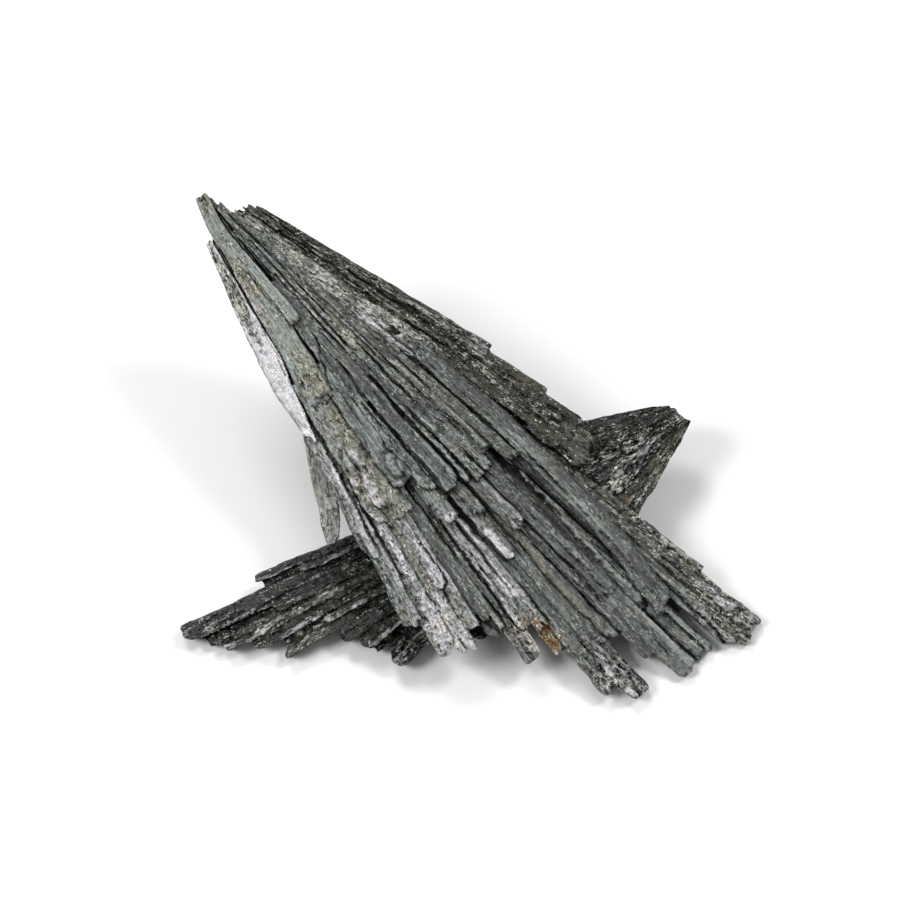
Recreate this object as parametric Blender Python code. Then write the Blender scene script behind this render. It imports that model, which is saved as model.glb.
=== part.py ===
"""A black kyanite fan: two sprays of flat blades grown through one another into a single specimen.

The big spray leans with its point in the air and its broom of blade ends on the ground. The small,
darker spray crosses under it, its point up on the right and its broom flat on the ground on the
left. Below the big spray a keel of steeper blades splays down and is the third thing it stands on.

Every blade is a row of a table: the angle off its spray's axis in degrees and the distance from the
spray's root, both at the blade's start and at its end, then its width and depth at the end and how far
its top stands off the spray's plane, in millimetres. The blades are joined into one solid and ground
flat where they would go below the surface that the specimen stands on.
"""

import math
import random

import bmesh
import bpy
from mathutils import Vector

MM = 0.001

# Ridges stand up off a spray's plane along this line, leaning a little to the front.
RISE = Vector((0.0, -0.643, 0.766))

# A spray: its root (mm), how steeply its plane falls and towards which heading, and the heading of its
# axis within the plane (degrees, 0 = +X, counter-clockwise).
MAIN_SPRAY = {"root": (-40.2, 36.2, 29.1), "slope": 17.6, "falls_to": -57.2, "axis": -45.0}
CROSS_SPRAY = {"root": (28.9, 9.8, 9.2), "slope": 9.2, "falls_to": -102.9, "axis": 208.0}

THIN_END = 1.1  # a blade's least width, near the root, mm
ROOT_DEPTH = 2.6  # a blade's depth where it starts, mm
UNEVEN = 0.12  # how far a blade's ends stray above or below its row, mm
SEED = 3  # picks which blades stray, and which way
RING_SHARES = (0.0, 0.5)  # how far along a blade its rings stand, before the two at its tip
TIP_LENGTH = 1.6  # the bevelled end of a blade, mm
TIP_SHRINK = 0.62  # a blade's last ring against its full section
# A blade's section, as shares of its width and depth: a flat top, bevelled shoulders and a narrower foot.
SECTION = ((-0.33, 0.0), (0.33, 0.0), (0.5, -0.34), (0.34, -1.0), (-0.34, -1.0), (-0.5, -0.34))
GROUND_BLOCK = (140.0, 140.0, 40.0)  # larger than the specimen each way, mm

KYANITE_GREY = (0.065, 0.073, 0.070, 1.0)  # linear colour
KYANITE_ROUGHNESS = 0.42
KYANITE_IOR = 1.72

# (start angle, start distance, end angle, end distance, width, depth, rise at start, rise at end)
LEFT_RIDGE = [
    (-14.2, 15.6, -17.2, 62.5, 2.2, 3.2, -0.2, 0.0),
    (-8.0, 10.6, -16.8, 72.4, 2.6, 3.2, 0.0, 0.2),
    (-6.5, 10.0, -15.2, 77.0, 3.0, 3.2, 0.3, 0.5),
    (-4.5, 9.6, -13.4, 78.0, 2.6, 3.0, 0.5, 0.3),
    (-2.5, 9.4, -13.6, 42.0, 3.8, 3.2, 0.6, 1.9),
    (-1.0, 10.5, -8.2, 36.5, 2.8, 2.8, 0.4, 1.2),
    (-6.0, 17.0, -6.3, 31.0, 1.7, 2.6, 1.2, 1.9),
    (-13.0, 38.0, -12.4, 59.5, 5.4, 3.6, 1.0, 1.6),
    (-9.0, 37.0, -8.8, 56.0, 3.4, 3.2, 1.2, 1.9),
]
CENTRE_BLADES = [
    (-7.0, 33.0, -6.8, 58.3, 1.9, 2.6, 1.2, 2.0),
    (-4.0, 24.0, -4.3, 59.5, 3.5, 3.0, 0.8, 2.4),
    (-1.0, 16.0, -2.0, 61.0, 1.9, 2.8, 0.4, 2.0),
    (1.0, 13.6, -0.4, 60.5, 2.0, 3.0, 0.4, 2.2),
    (3.5, 13.8, 1.4, 60.0, 2.2, 3.0, 0.6, 1.8),
    (-7.6, 44.0, -7.0, 63.2, 2.3, 2.6, 0.6, 1.5),
    (-3.6, 44.0, -3.9, 64.5, 1.8, 2.6, 0.6, 1.6),
    (-1.6, 44.0, -1.7, 68.5, 2.4, 2.8, 0.6, 1.7),
    (0.4, 36.0, 0.3, 82.0, 3.2, 3.0, 0.8, 1.0),
]
BROOM = [
    (-11.5, 46.0, -12.2, 69.5, 1.7, 2.6, 0.4, 1.0),
    (-11.0, 46.0, -11.9, 75.3, 1.6, 2.8, 0.2, 0.7),
    (-10.0, 46.0, -10.4, 78.0, 2.8, 3.0, 0.0, 0.2),
    (-9.0, 46.0, -8.9, 83.0, 2.8, 3.2, 0.0, 0.0),
    (-7.4, 46.0, -7.8, 79.0, 2.2, 3.0, 0.0, 0.5),
    (-6.0, 46.0, -6.6, 80.5, 1.9, 2.8, 0.0, 0.3),
    (-5.0, 46.0, -4.6, 70.8, 2.0, 2.8, 0.0, 0.6),
    (-4.6, 46.0, -5.4, 91.8, 3.4, 2.8, 0.0, 0.0),
    (-3.4, 46.0, -3.9, 93.4, 3.0, 2.8, 0.2, 0.3),
    (-1.8, 46.0, -2.6, 86.0, 2.6, 2.8, 0.2, 0.4),
    (-0.8, 46.0, -1.2, 90.4, 2.2, 2.6, 0.0, 0.0),
    (0.8, 46.0, 0.0, 95.2, 3.2, 2.8, 0.0, 0.1),
    (2.4, 46.0, 1.9, 95.4, 3.2, 2.8, 0.0, 0.2),
    (4.6, 46.0, 4.3, 96.6, 3.2, 2.8, 0.0, 0.3),
    (6.2, 46.0, 6.1, 97.4, 3.0, 2.8, 0.0, 0.1),
    (6.9, 50.0, 6.8, 88.0, 2.4, 2.8, -0.2, -0.1),
]
LIGHT_BAND = [
    (8.0, 24.0, 6.4, 58.0, 3.4, 3.0, 1.2, 1.8),
    (6.6, 52.0, 4.4, 76.0, 3.6, 3.0, 1.2, 1.6),
    (4.8, 68.0, 2.2, 89.0, 3.4, 2.8, 1.0, 0.8),
]
FAR_FLANK = [
    (5.0, 14.2, 4.2, 60.0, 2.8, 3.0, 0.5, 0.4),
    (8.0, 14.0, 8.8, 69.0, 3.2, 3.0, 0.4, 0.5),
    (11.4, 14.6, 10.6, 68.0, 3.0, 3.0, 0.2, 0.0),
    (13.0, 15.4, 12.0, 65.8, 2.4, 2.8, -0.2, -0.4),
    (13.6, 16.0, 14.0, 51.0, 2.2, 2.6, -0.3, -0.4),
    (13.6, 24.0, 12.9, 59.5, 2.2, 2.6, -0.4, -0.5),
]
SPLINTER = [(-14.4, 30.0, -20.2, 58.3, 1.7, 1.6, -2.0, -1.6)]
# The keel's blades go down in four layers, the steepest and shortest first.
KEEL = [
    (-9.5, 15.0, -11.0, 51.0, 4.0, 3.2, -1.0, -15.6),
    (-5.5, 15.0, -6.8, 53.5, 4.8, 3.4, -1.0, -15.2),
    (-1.0, 16.0, -2.6, 55.0, 4.0, 3.0, -1.0, -13.6),
    (-10.0, 16.0, -13.0, 54.0, 4.4, 3.2, -0.6, -12.6),
    (-6.0, 16.0, -8.6, 57.0, 3.8, 3.2, -0.6, -13.2),
    (-2.0, 16.0, -4.4, 60.0, 5.0, 3.4, -0.6, -12.8),
    (3.0, 18.0, 1.0, 57.5, 4.0, 3.0, -0.6, -10.4),
    (-12.0, 18.0, -14.6, 58.0, 3.6, 3.0, -0.4, -9.2),
    (-8.0, 18.0, -10.4, 60.5, 4.8, 3.2, -0.4, -10.6),
    (-4.0, 18.0, -6.0, 64.5, 4.4, 3.2, -0.4, -10.4),
    (1.0, 18.0, -1.0, 65.0, 5.0, 3.2, -0.4, -9.0),
    (5.5, 20.0, 4.2, 60.5, 3.6, 2.8, -0.6, -7.0),
    (-13.0, 20.0, -14.6, 63.0, 4.4, 3.0, -0.6, -6.2),
    (-8.0, 20.0, -9.8, 67.0, 5.4, 3.2, -0.6, -7.8),
    (-3.0, 20.0, -4.4, 69.0, 5.4, 3.2, -0.6, -7.2),
    (2.5, 20.0, 1.4, 70.0, 5.4, 3.2, -0.6, -5.8),
    (7.5, 20.0, 7.0, 64.0, 5.0, 3.0, -0.8, -4.4),
]
# Wide flat blades inside each spray, which the ones that show have grown on.
MAIN_CORE = [
    (-13.0, 20.0, -14.0, 70.0, 6.4, 2.4, -0.8, -1.0),
    (-8.0, 20.0, -9.4, 76.0, 7.0, 2.4, -0.8, -1.0),
    (-2.0, 18.0, -3.8, 84.0, 7.4, 2.4, -0.8, -0.8),
    (3.0, 18.0, 1.0, 88.0, 7.4, 2.4, -0.8, -0.7),
    (7.0, 18.0, 5.0, 90.0, 6.0, 2.2, -0.8, -0.7),
    (11.0, 18.0, 10.2, 66.0, 6.0, 2.4, -0.8, -1.2),
]
CROSS_BLADES = [
    (-14.0, 4.0, -3.7, 60.4, 2.6, 2.6, 0.0, 0.5),
    (-9.0, 3.4, -1.5, 71.0, 2.8, 2.6, 0.2, 0.0),
    (-5.0, 3.0, 0.3, 69.4, 2.6, 2.6, 0.4, 0.1),
    (0.0, 3.0, 1.6, 67.4, 2.4, 2.6, 0.6, 0.1),
    (3.0, 3.0, 3.2, 64.2, 2.2, 2.6, 0.6, 0.0),
    (7.0, 3.0, 5.6, 61.8, 2.8, 2.8, 0.7, 0.0),
    (11.0, 3.0, 8.0, 55.3, 2.8, 2.8, 0.8, 0.1),
    (15.0, 3.0, 11.2, 53.6, 3.2, 3.0, 0.8, 0.0),
    (19.0, 3.0, 14.8, 52.2, 3.4, 3.2, 0.6, -0.2),
    (23.0, 3.0, 20.0, 44.0, 3.6, 3.4, 0.4, 0.0),
    (28.0, 3.0, 26.0, 33.0, 3.4, 3.6, 0.2, 0.0),
    (32.0, 3.2, 28.6, 25.0, 3.2, 3.8, 0.0, -0.2),
    (-16.0, 4.5, -11.5, 42.0, 2.8, 2.8, -0.2, 0.0),
    (-17.5, 5.0, -15.0, 30.0, 2.4, 2.6, -0.4, -0.4),
    (-10.0, 8.0, -1.6, 58.0, 5.6, 2.2, -0.6, -0.8),
    (-3.0, 8.0, 3.4, 58.0, 5.6, 2.2, -0.6, -0.8),
    (5.0, 8.0, 8.8, 50.0, 5.6, 2.4, -0.6, -0.8),
    (13.0, 8.0, 14.0, 48.0, 5.6, 2.4, -0.6, -0.9),
    (22.0, 8.0, 20.0, 38.0, 5.6, 2.6, -0.8, -0.9),
]
MAIN_GROUPS = {
    "left_ridge": LEFT_RIDGE,
    "centre": CENTRE_BLADES,
    "broom": BROOM,
    "light_band": LIGHT_BAND,
    "far_flank": FAR_FLANK,
    "splinter": SPLINTER,
    "keel": KEEL,
    "core": MAIN_CORE,
}


def clear_scene():
    for obj in list(bpy.data.objects):
        bpy.data.objects.remove(obj, do_unlink=True)


def heading(degrees):
    angle = math.radians(degrees)
    return Vector((math.cos(angle), math.sin(angle), 0.0))


def spray_axes(spray):
    """The plane's normal and two square directions in it, the first as near +X as it can be."""
    slope = math.radians(spray["slope"])
    normal = heading(spray["falls_to"]) * math.sin(slope) + Vector((0.0, 0.0, math.cos(slope)))
    along_x = Vector((1.0, 0.0, 0.0))
    along_x = (along_x - normal * along_x.dot(normal)).normalized()
    return normal, along_x, normal.cross(along_x)


def place(spray, angle, distance, rise):
    """A point of a spray, in mm: so far along a ray from its root, and so high above its plane."""
    normal, along_x, along_y = spray_axes(spray)
    turn = math.radians(spray["axis"] + angle)
    ray = along_x * math.cos(turn) + along_y * math.sin(turn)
    return Vector(spray["root"]) + ray * distance + RISE * (rise / RISE.dot(normal))


def blade_mesh(name, spray, row, rng):
    """One closed straight blade: six-sided rings from its thin start to its bevelled end."""
    angle_0, start, angle_1, end, width, depth, rise_0, rise_1 = row
    normal = spray_axes(spray)[0]
    first = place(spray, angle_0, start, rise_0 + rng.uniform(-UNEVEN, UNEVEN))
    last = place(spray, angle_1, end, rise_1 + rng.uniform(-UNEVEN, UNEVEN))
    along = last - first
    across = normal.cross(along).normalized()
    down = across.cross(along).normalized()
    tip = 1.0 - TIP_LENGTH / along.length
    rings = []
    for share in (*RING_SHARES, tip, 1.0):
        distance = start + (end - start) * share
        wide = max(THIN_END, width * distance / end)
        deep = ROOT_DEPTH + (depth - ROOT_DEPTH) * share
        middle = first + along * share
        if share == 1.0:
            wide *= TIP_SHRINK
            middle += down * (deep * (1.0 - TIP_SHRINK) / 2)
            deep *= TIP_SHRINK
        rings.append([middle + across * (x * wide) - down * (z * deep) for x, z in SECTION])
    shape = bmesh.new()
    loops = [[shape.verts.new(point * MM) for point in ring] for ring in rings]
    for ring, following in zip(loops, loops[1:]):
        for i in range(len(SECTION)):
            j = (i + 1) % len(SECTION)
            shape.faces.new((ring[i], ring[j], following[j], following[i]))
    shape.faces.new(reversed(loops[0]))
    shape.faces.new(loops[-1])
    bmesh.ops.recalc_face_normals(shape, faces=shape.faces)
    mesh = bpy.data.meshes.new(name)
    shape.to_mesh(mesh)
    shape.free()
    return mesh


def add_blades(collection, name, spray, rows, rng):
    for number, row in enumerate(rows):
        mesh = blade_mesh(f"{name}_{number}", spray, row, rng)
        blade = bpy.data.objects.new(mesh.name, mesh)
        blade.hide_render = True
        blade.display_type = "WIRE"
        collection.objects.link(blade)


def add_ground():
    """The block below the surface, which cuts off whatever would reach under it."""
    bpy.ops.mesh.primitive_cube_add(size=1.0, location=(0.0, 0.0, -GROUND_BLOCK[2] * MM / 2))
    block = bpy.context.object
    block.name = "ground"
    block.scale = [side * MM for side in GROUND_BLOCK]
    block.hide_render = True
    block.display_type = "WIRE"
    return block


def boolean(obj, operation, **operand):
    modifier = obj.modifiers.new(operation.lower(), "BOOLEAN")
    modifier.operation = operation
    modifier.solver = "EXACT"
    for name, value in operand.items():
        setattr(modifier, name, value)


def largest_shell(mesh):
    """Leaves only the outer skin: the small hollows between blades inside the specimen are filled."""
    shape = bmesh.new()
    shape.from_mesh(mesh)
    shells = []
    left = set(shape.faces)
    while left:
        todo = [left.pop()]
        shell = set(todo)
        while todo:
            closed = [edge for edge in todo.pop().edges if len(edge.link_faces) == 2]
            fresh = {face for edge in closed for face in edge.link_faces if face in left}
            left -= fresh
            shell |= fresh
            todo.extend(fresh)
        shells.append(shell)
    shells.sort(key=len)
    inner = [face for shell in shells[:-1] for face in shell]
    bmesh.ops.delete(shape, geom=inner, context="FACES")
    bmesh.ops.triangulate(shape, faces=shape.faces)
    shape.to_mesh(mesh)
    shape.free()


def black_kyanite():
    material = bpy.data.materials.new("black_kyanite")
    material.use_nodes = True
    shader = material.node_tree.nodes["Principled BSDF"]
    shader.inputs["Base Color"].default_value = KYANITE_GREY
    shader.inputs["Roughness"].default_value = KYANITE_ROUGHNESS
    shader.inputs["Metallic"].default_value = 0.0
    shader.inputs["IOR"].default_value = KYANITE_IOR
    return material


def main():
    clear_scene()
    rng = random.Random(SEED)
    blades = bpy.data.collections.new("blades")
    bpy.context.scene.collection.children.link(blades)
    for name, rows in MAIN_GROUPS.items():
        add_blades(blades, name, MAIN_SPRAY, rows, rng)
    add_blades(blades, "cross", CROSS_SPRAY, CROSS_BLADES, rng)

    first = blades.objects[0]
    blades.objects.unlink(first)
    fan = bpy.data.objects.new("kyanite_fan", first.data)
    bpy.data.objects.remove(first)
    bpy.context.scene.collection.objects.link(fan)
    ground = add_ground()
    boolean(fan, "UNION", operand_type="COLLECTION", collection=blades)
    boolean(fan, "DIFFERENCE", object=ground)
    graph = bpy.context.evaluated_depsgraph_get()
    solid = bpy.data.meshes.new_from_object(fan.evaluated_get(graph))
    fan.modifiers.clear()
    fan.data = solid
    largest_shell(solid)
    solid.materials.clear()
    solid.materials.append(black_kyanite())
    for blade in list(blades.objects):
        bpy.data.objects.remove(blade)
    bpy.data.objects.remove(ground)
    bpy.data.collections.remove(blades)


main()
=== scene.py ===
"""The look of a black kyanite fan: two sprays of flat blades, split into laths and grown together."""

import math
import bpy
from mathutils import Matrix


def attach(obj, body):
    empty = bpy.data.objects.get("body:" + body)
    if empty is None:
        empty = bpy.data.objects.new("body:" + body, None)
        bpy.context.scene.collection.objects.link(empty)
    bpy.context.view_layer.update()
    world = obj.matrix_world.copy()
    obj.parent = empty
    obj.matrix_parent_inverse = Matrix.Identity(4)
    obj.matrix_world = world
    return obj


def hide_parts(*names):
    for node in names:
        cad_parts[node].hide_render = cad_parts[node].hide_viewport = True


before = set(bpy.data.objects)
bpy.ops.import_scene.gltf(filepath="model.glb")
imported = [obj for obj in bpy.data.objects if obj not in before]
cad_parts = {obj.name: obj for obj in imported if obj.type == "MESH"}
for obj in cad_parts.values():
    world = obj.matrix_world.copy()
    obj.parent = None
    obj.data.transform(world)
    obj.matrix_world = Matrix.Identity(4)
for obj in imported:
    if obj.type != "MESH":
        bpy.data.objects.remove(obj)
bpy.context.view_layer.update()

from types import SimpleNamespace
from typing import NamedTuple

import bpy
import numpy as np
from mathutils import Vector

NODE = "kyanite_fan"

MM = 0.001

# What each point of a mesh carries for its material: where it lies in the grain (across and along its blade,
# in mm, and its lath's tone), its finish (silver, whose pale colour is partly a painted sheen, dust, rust)
# and its relief (how sunk, painted as shade in hollows and as a highlight on proud edges, and how speckled).
LOOKS = ("grain", "finish", "relief")

# ---- The two sprays, in mm and degrees. Blades fan out from each spray's root, over a plane that slopes.

RISE = np.array((0.0, -0.643, 0.766))  # the way in which one blade is laid over another
MAIN_SPRAY = {"root": (-40.2, 36.2, 29.1), "slope": 17.6, "falls_to": -57.2, "axis": -45.0}
CROSS_SPRAY = {"root": (28.9, 9.8, 9.2), "slope": 9.2, "falls_to": -102.9, "axis": 208.0}
THIN_END = 1.1  # no blade starts narrower than this
FOOT = 0.25  # whatever would reach lower than this is worn flat above the ground

# ---- The skin over a group of blades, in mm unless a line says otherwise.

EMPTY = -99.0  # its height where there is no stone
JITTER = 0.3  # how far its points are off the grid at random, as a share of the grid
LINE_POINTS = 60  # how many points the middle line of a blade is worked out at
GAP_WIDTH = 0.14  # from the middle of a gap between laths to its side
SEAM_WIDTH = 0.13  # from the middle of a seam between blades to its side
SEAM_REACH = 9  # how many points to either side of a seam feel it
BLADE_SPREAD = 400  # how far apart blades may lie in the stone's pattern, so that no two look the same
CHIPS = ((0.95, 1.0), (0.42, 0.5))  # the width of each size of chip, and the share of a finish's chip height
CHIP_LENGTH = 3.6  # how long a chip is, as a share of its width
THINNEST = 0.3  # how thick the stone is at least
RIM_ROUNDS = 4  # how many times its rim is evened out
WALL_LAYERS = (0.35, 0.7)  # how far down a broken side its layers stand, as shares of its height
SHARP_ANGLE = 17  # an edge that turns more than this many degrees is a sharp one

# ---- A lath that is built on its own, in mm unless a line says otherwise.

RING_PITCH = 1.4  # from one ring of its points to the next
TOP_STRIPS = (3, 16)  # the fewest and the most strips that its top is made of
TIP_RINGS = (1.0, 0.55, 0.25, 0.08)  # where rings close up towards its tip, as shares of the tip
UNDER_ACROSS = (0.94, 0.5, -0.5, -0.94)  # points of its underside across it, as shares of half its width
UNDER_DEEP = (0.5, 1.0, 1.0, 0.5)  # and how deep they lie, as shares of its depth
LATH_SPREAD = 500  # how far apart laths may lie in the stone's pattern
KEEL_SEED = 15

# ---- The blades. A straight blade is a row: the angle off its spray's axis (degrees) and the distance from
# ---- the spray's root (mm) where it starts, the same where it ends, its width and depth at the end, how far
# ---- its top stands off the spray's plane at each end, its lean to the left (degrees) and its finish. A
# ---- bent one has a list of places, each an angle, a distance, a rise and a width, then its depth, lean and
# ---- finish. Rows that end after the depth or the rises get their lean and finish from finished().

LEFT_RIDGE = [
    (-14.2, 15.6, -17.2, 62.5, 2.2, 3.2, -0.2, 0, 30, "silver"),
    (-8, 10.6, -16.8, 72.4, 2.6, 3.2, 0, 0.2, 24, "silver"),
    (-6.5, 10, -15.2, 77, 3, 3.2, 0.3, 0.5, 14, "silver"),
    (-4.5, 9.6, -13.4, 78, 2.6, 3, 0.5, 0.3, 6, "dusty"),
    ([(-3.5, 9.5, 0.6, 1.8), (-8.6, 14, 1, 2.1), (-9.6, 20, 1.3, 2.5), (-11.2, 30, 1.7, 3.2),
      (-12.3, 42, 1.9, 4)], 3.2, 6, "ridge"),
    (-1, 10.5, -8.2, 36.5, 2, 2.8, 0, 1, -20, "plain"),
    (-7, 19, -6.6, 31, 1.7, 2.6, 1.3, 2, -6, "ridge"),
    (-6.2, 26, -7.2, 45, 2.8, 2.6, 1, 1.4, 0, "plain"),
    (1.6, 11.4, -1.4, 30, 1.8, 2.4, -0.4, 0.1, 0, "plain"),
    (-0.6, 12, -3.4, 28, 1.6, 2.4, 0, 0.5, 0, "plain"),
    # The flank that faces the key lamp: a real silvery skin, painted paler and lighter as its sheen.
    ([(-16, 15.5, -0.2, 0.9), (-16.8, 24, -0.1, 2), (-17.2, 34, 0, 3.2), (-17.3, 40, 0.1, 2.4),
      (-16.9, 46.5, 0.1, 0.9)], 1.6, 46, "foil"),
    (-13, 38, -12.4, 59.5, 5.4, 3.6, 1.5, 1.6, 4, "dusty"),
    (-9, 37, -8.8, 56, 3.4, 3.2, 1.5, 1.9, 0, "smooth"),
]
CENTRE_BLADES = [
    (-7, 33, -6.8, 58.3, 1.9, 2.6, 1.2, 2, 6, "plain"),
    (-4, 24, -4.3, 59.5, 3.1, 3, 0.8, 2.4, 0, "slab"),
    (-1.6, 16, -2.4, 60, 1.5, 2.8, 0.4, 2.1, 4, "plain"),
    (-0.2, 13.6, -0.9, 61, 1.6, 2.8, 0.4, 2.2, 0, "plain"),
    (1.6, 13.6, 0.5, 60.5, 1.7, 3, 0.4, 2.1, -4, "plain"),
    (3.7, 13.8, 2, 59, 1.9, 3, 0.6, 1.8, 0, "plain"),
    (5, 15, 3.7, 62, 2, 3, 0.7, 1.6, 0, "plain"),
    (-7.6, 44, -7, 63.2, 2.3, 2.6, 0.6, 1.5, 6, "dusty"),
    (-3.6, 44, -3.9, 64.5, 1.8, 2.6, 0.6, 1.6, 0, "slab"),
    (-1.6, 44, -1.7, 68.5, 2.4, 2.8, 0.6, 1.7, 0, "slab"),
    (0.4, 36, 0.3, 82, 3.2, 3, 0.8, 0.7, 0, "slab"),
]
LEFT_BROOM = [
    (-11.5, 46, -12.2, 69.5, 2, 2.6, 0.4, 1, 14, "silver"),
    (-11, 46, -11.9, 75.3, 1.9, 2.8, 0.2, 0.7, 12, "silver"),
    (-10, 46, -10.4, 78, 2.8, 3, 0, 0.2, 0, "slab"),
    (-9, 46, -8.9, 83, 2.8, 3.2, 0, 0, 4, "plain"),
    (-7.4, 46, -7.8, 79, 2.2, 3, 0, 0.5, 12, "silver"),
    (-6, 46, -6.6, 80.5, 1.9, 2.8, 0, 0.3, 12, "silver"),
    (-6, 60, -6.7, 83.6, 2.2, 2.4, -0.5, -0.3, 0, "slab"),
    (-5, 46, -4.6, 70.8, 2, 2.8, 0, 0.6, 16, "silver"),
    (-4.6, 46, -5.4, 91.8, 3.4, 2.8, 0, 0, 0, "slab"),
]
RIGHT_BROOM = [
    (-3.4, 46, -3.9, 93.4, 3, 2.8, 0.2, 0.3, 0, "slab"),
    (-1.8, 46, -2.6, 86, 2.6, 2.8, 0.2, 0.3, 0, "slab"),
    (-0.8, 46, -1.2, 90.4, 2.2, 2.6, 0, 0, 0, "slab"),
    (0.8, 46, 0, 95.2, 3.2, 2.8, 0, 0.1, 0, "slab"),
    (2.4, 46, 1.9, 95.4, 3.2, 2.8, 0, 0.1, 0, "slab"),
    (4.6, 46, 4.3, 96.6, 3.2, 2.8, 0, 0.2, 0, "slab"),
    (5.4, 60, 5.2, 98, 3.4, 2.6, -0.2, 0.1, 0, "rough"),
    (6.2, 46, 6.1, 97.4, 3, 2.8, 0, 0.1, -6, "rough"),
    (6.9, 50, 6.8, 88, 2.4, 2.8, -0.2, -0.1, -10, "rough"),
]
LIGHT_BAND = [
    ([(5.4, 15.5, 0.8, 1.6), (6.2, 30, 1.2, 2.6), (7, 44, 1.3, 3.6)], 3, 0, "glitter"),
    ([(7.4, 40, 1.1, 2.6), (6.4, 57, 1.5, 3), (4.8, 74, 1.2, 3.3), (2.6, 88, 0.6, 3.6)], 3, 4, "slab"),
]
FAR_FLANK = [
    (5, 14.2, 4.2, 60, 2.8, 3, 0.5, 0.4, 0, "rough"),
    (8, 14, 8.8, 69, 3.2, 3, 0.4, 0.5, -6, "rough"),
    (11.4, 14.6, 10.6, 68, 3, 3, 0.2, 0, -10, "rough"),
    (13, 15.4, 12, 65.8, 2.4, 2.8, -0.2, -0.4, -14, "rough"),
    (13.6, 16, 14, 51, 2.2, 2.6, -0.3, -0.4, -16, "rough"),
    (13.6, 24, 12.9, 59.5, 2.2, 2.6, -0.4, -0.5, -16, "rough"),
]
SPLINTER = [
    ([(-14.4, 30, -2, 1.6), (-16.2, 43.6, -1.8, 2.4), (-18.2, 50, -1.7, 2.8), (-19.8, 56, -1.6, 2.8),
      (-20.8, 59, -1.6, 1.8)], 1.6, 14, "dusty"),
]
KEEL = [
    (-9.5, 15, -11, 51, 4, 3.2, -1, -15.6),
    (-5.5, 15, -6.8, 53.5, 4.8, 3.4, -1, -15.2),
    (-1, 16, -2.6, 55, 4, 3, -1, -13.6),
    (-10, 16, -13, 54, 4.4, 3.2, -0.6, -12.6),
    (-6, 16, -8.6, 57, 3.8, 3.2, -0.6, -13.2),
    (-2, 16, -4.4, 60, 5, 3.4, -0.6, -12.8),
    (3, 18, 1, 57.5, 4, 3, -0.6, -10.4),
    (-12, 18, -14.6, 58, 3.6, 3, -0.4, -9.2),
    (-8, 18, -10.4, 60.5, 4.8, 3.2, -0.4, -10.6),
    (-4, 18, -6, 64.5, 4.4, 3.2, -0.4, -10.4),
    (1, 18, -1, 65, 5, 3.2, -0.4, -9),
    (5.5, 20, 4.2, 60.5, 3.6, 2.8, -0.6, -7),
    (-13, 20, -14.6, 63, 4.4, 3, -0.6, -6.2),
    (-8, 20, -9.8, 67, 5.4, 3.2, -0.6, -7.8),
    (-3, 20, -4.4, 69, 5.4, 3.2, -0.6, -7.2),
    (2.5, 20, 1.4, 70, 5.4, 3.2, -0.6, -5.8),
    (7.5, 20, 7, 64, 5, 3, -0.8, -4.4),
]
MAIN_CORE = [
    (-13, 20, -14, 70, 6.4, 2.4, -0.8, -1),
    (-8, 20, -9.4, 76, 7, 2.4, -0.8, -1),
    (-2, 18, -3.8, 84, 7.4, 2.4, -0.8, -0.8),
    (3, 18, 1, 88, 7.4, 2.4, -0.8, -0.7),
    (7, 18, 5, 90, 6, 2.2, -0.8, -0.7),
    (11, 18, 10.2, 66, 6, 2.4, -0.8, -1.2),
]
CROSS_BLADES = [
    (-14, 4, -3.7, 60.4, 2.6, 2.6, 0, 0.5),
    (-9, 3.4, -1.5, 71, 2.8, 2.6, 0.2, 0),
    (-5, 3, 0.3, 69.4, 2.6, 2.6, 0.4, 0.1),
    (0, 3, 1.6, 67.4, 2.4, 2.6, 0.6, 0.1),
    (3, 3, 3.2, 64.2, 2.2, 2.6, 0.6, 0),
    (7, 3, 5.6, 61.8, 2.8, 2.8, 0.7, 0),
    (11, 3, 8, 55.3, 2.8, 2.8, 0.8, 0.1),
    (15, 3, 11.2, 53.6, 3.2, 3, 0.8, 0),
    (19, 3, 14.8, 52.2, 3.4, 3.2, 0.6, -0.2),
    (23, 3, 20, 44, 3.6, 3.4, 0.4, 0),
    (28, 3, 26, 33, 3.4, 3.6, 0.2, 0),
    (32, 3.2, 28.6, 25, 3.2, 3.8, 0, -0.2),
    (-16, 4.5, -11.5, 42, 2.8, 2.8, -0.2, 0),
    (-17.5, 5, -15, 30, 2.4, 2.6, -0.4, -0.4),
    ([(-12, 3.4, -0.3, 1.2), (-10, 14, -0.4, 3), (-7, 30, -0.6, 5.6)], 2.4),
    ([(6, 2.8, -0.3, 1.6), (6, 14, -0.4, 4.5), (6, 30, -0.6, 8.6)], 2.4),
    ([(20, 2.8, -0.3, 1.6), (20, 14, -0.4, 4.5), (20, 30, -0.6, 8.6)], 2.4),
    ([(30, 2.8, -0.4, 1.6), (30, 12, -0.4, 3.2), (29, 20, -0.6, 4.6)], 2.4),
]
CROSS_CORE = [
    (-10, 8, -1.6, 58, 5.6, 2.2, -0.6, -0.8),
    (-3, 8, 3.4, 58, 5.6, 2.2, -0.6, -0.8),
    (5, 8, 8.8, 50, 5.6, 2.4, -0.6, -0.8),
    (13, 8, 14, 48, 5.6, 2.4, -0.6, -0.9),
    (22, 8, 20, 38, 5.6, 2.6, -0.8, -0.9),
]

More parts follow.
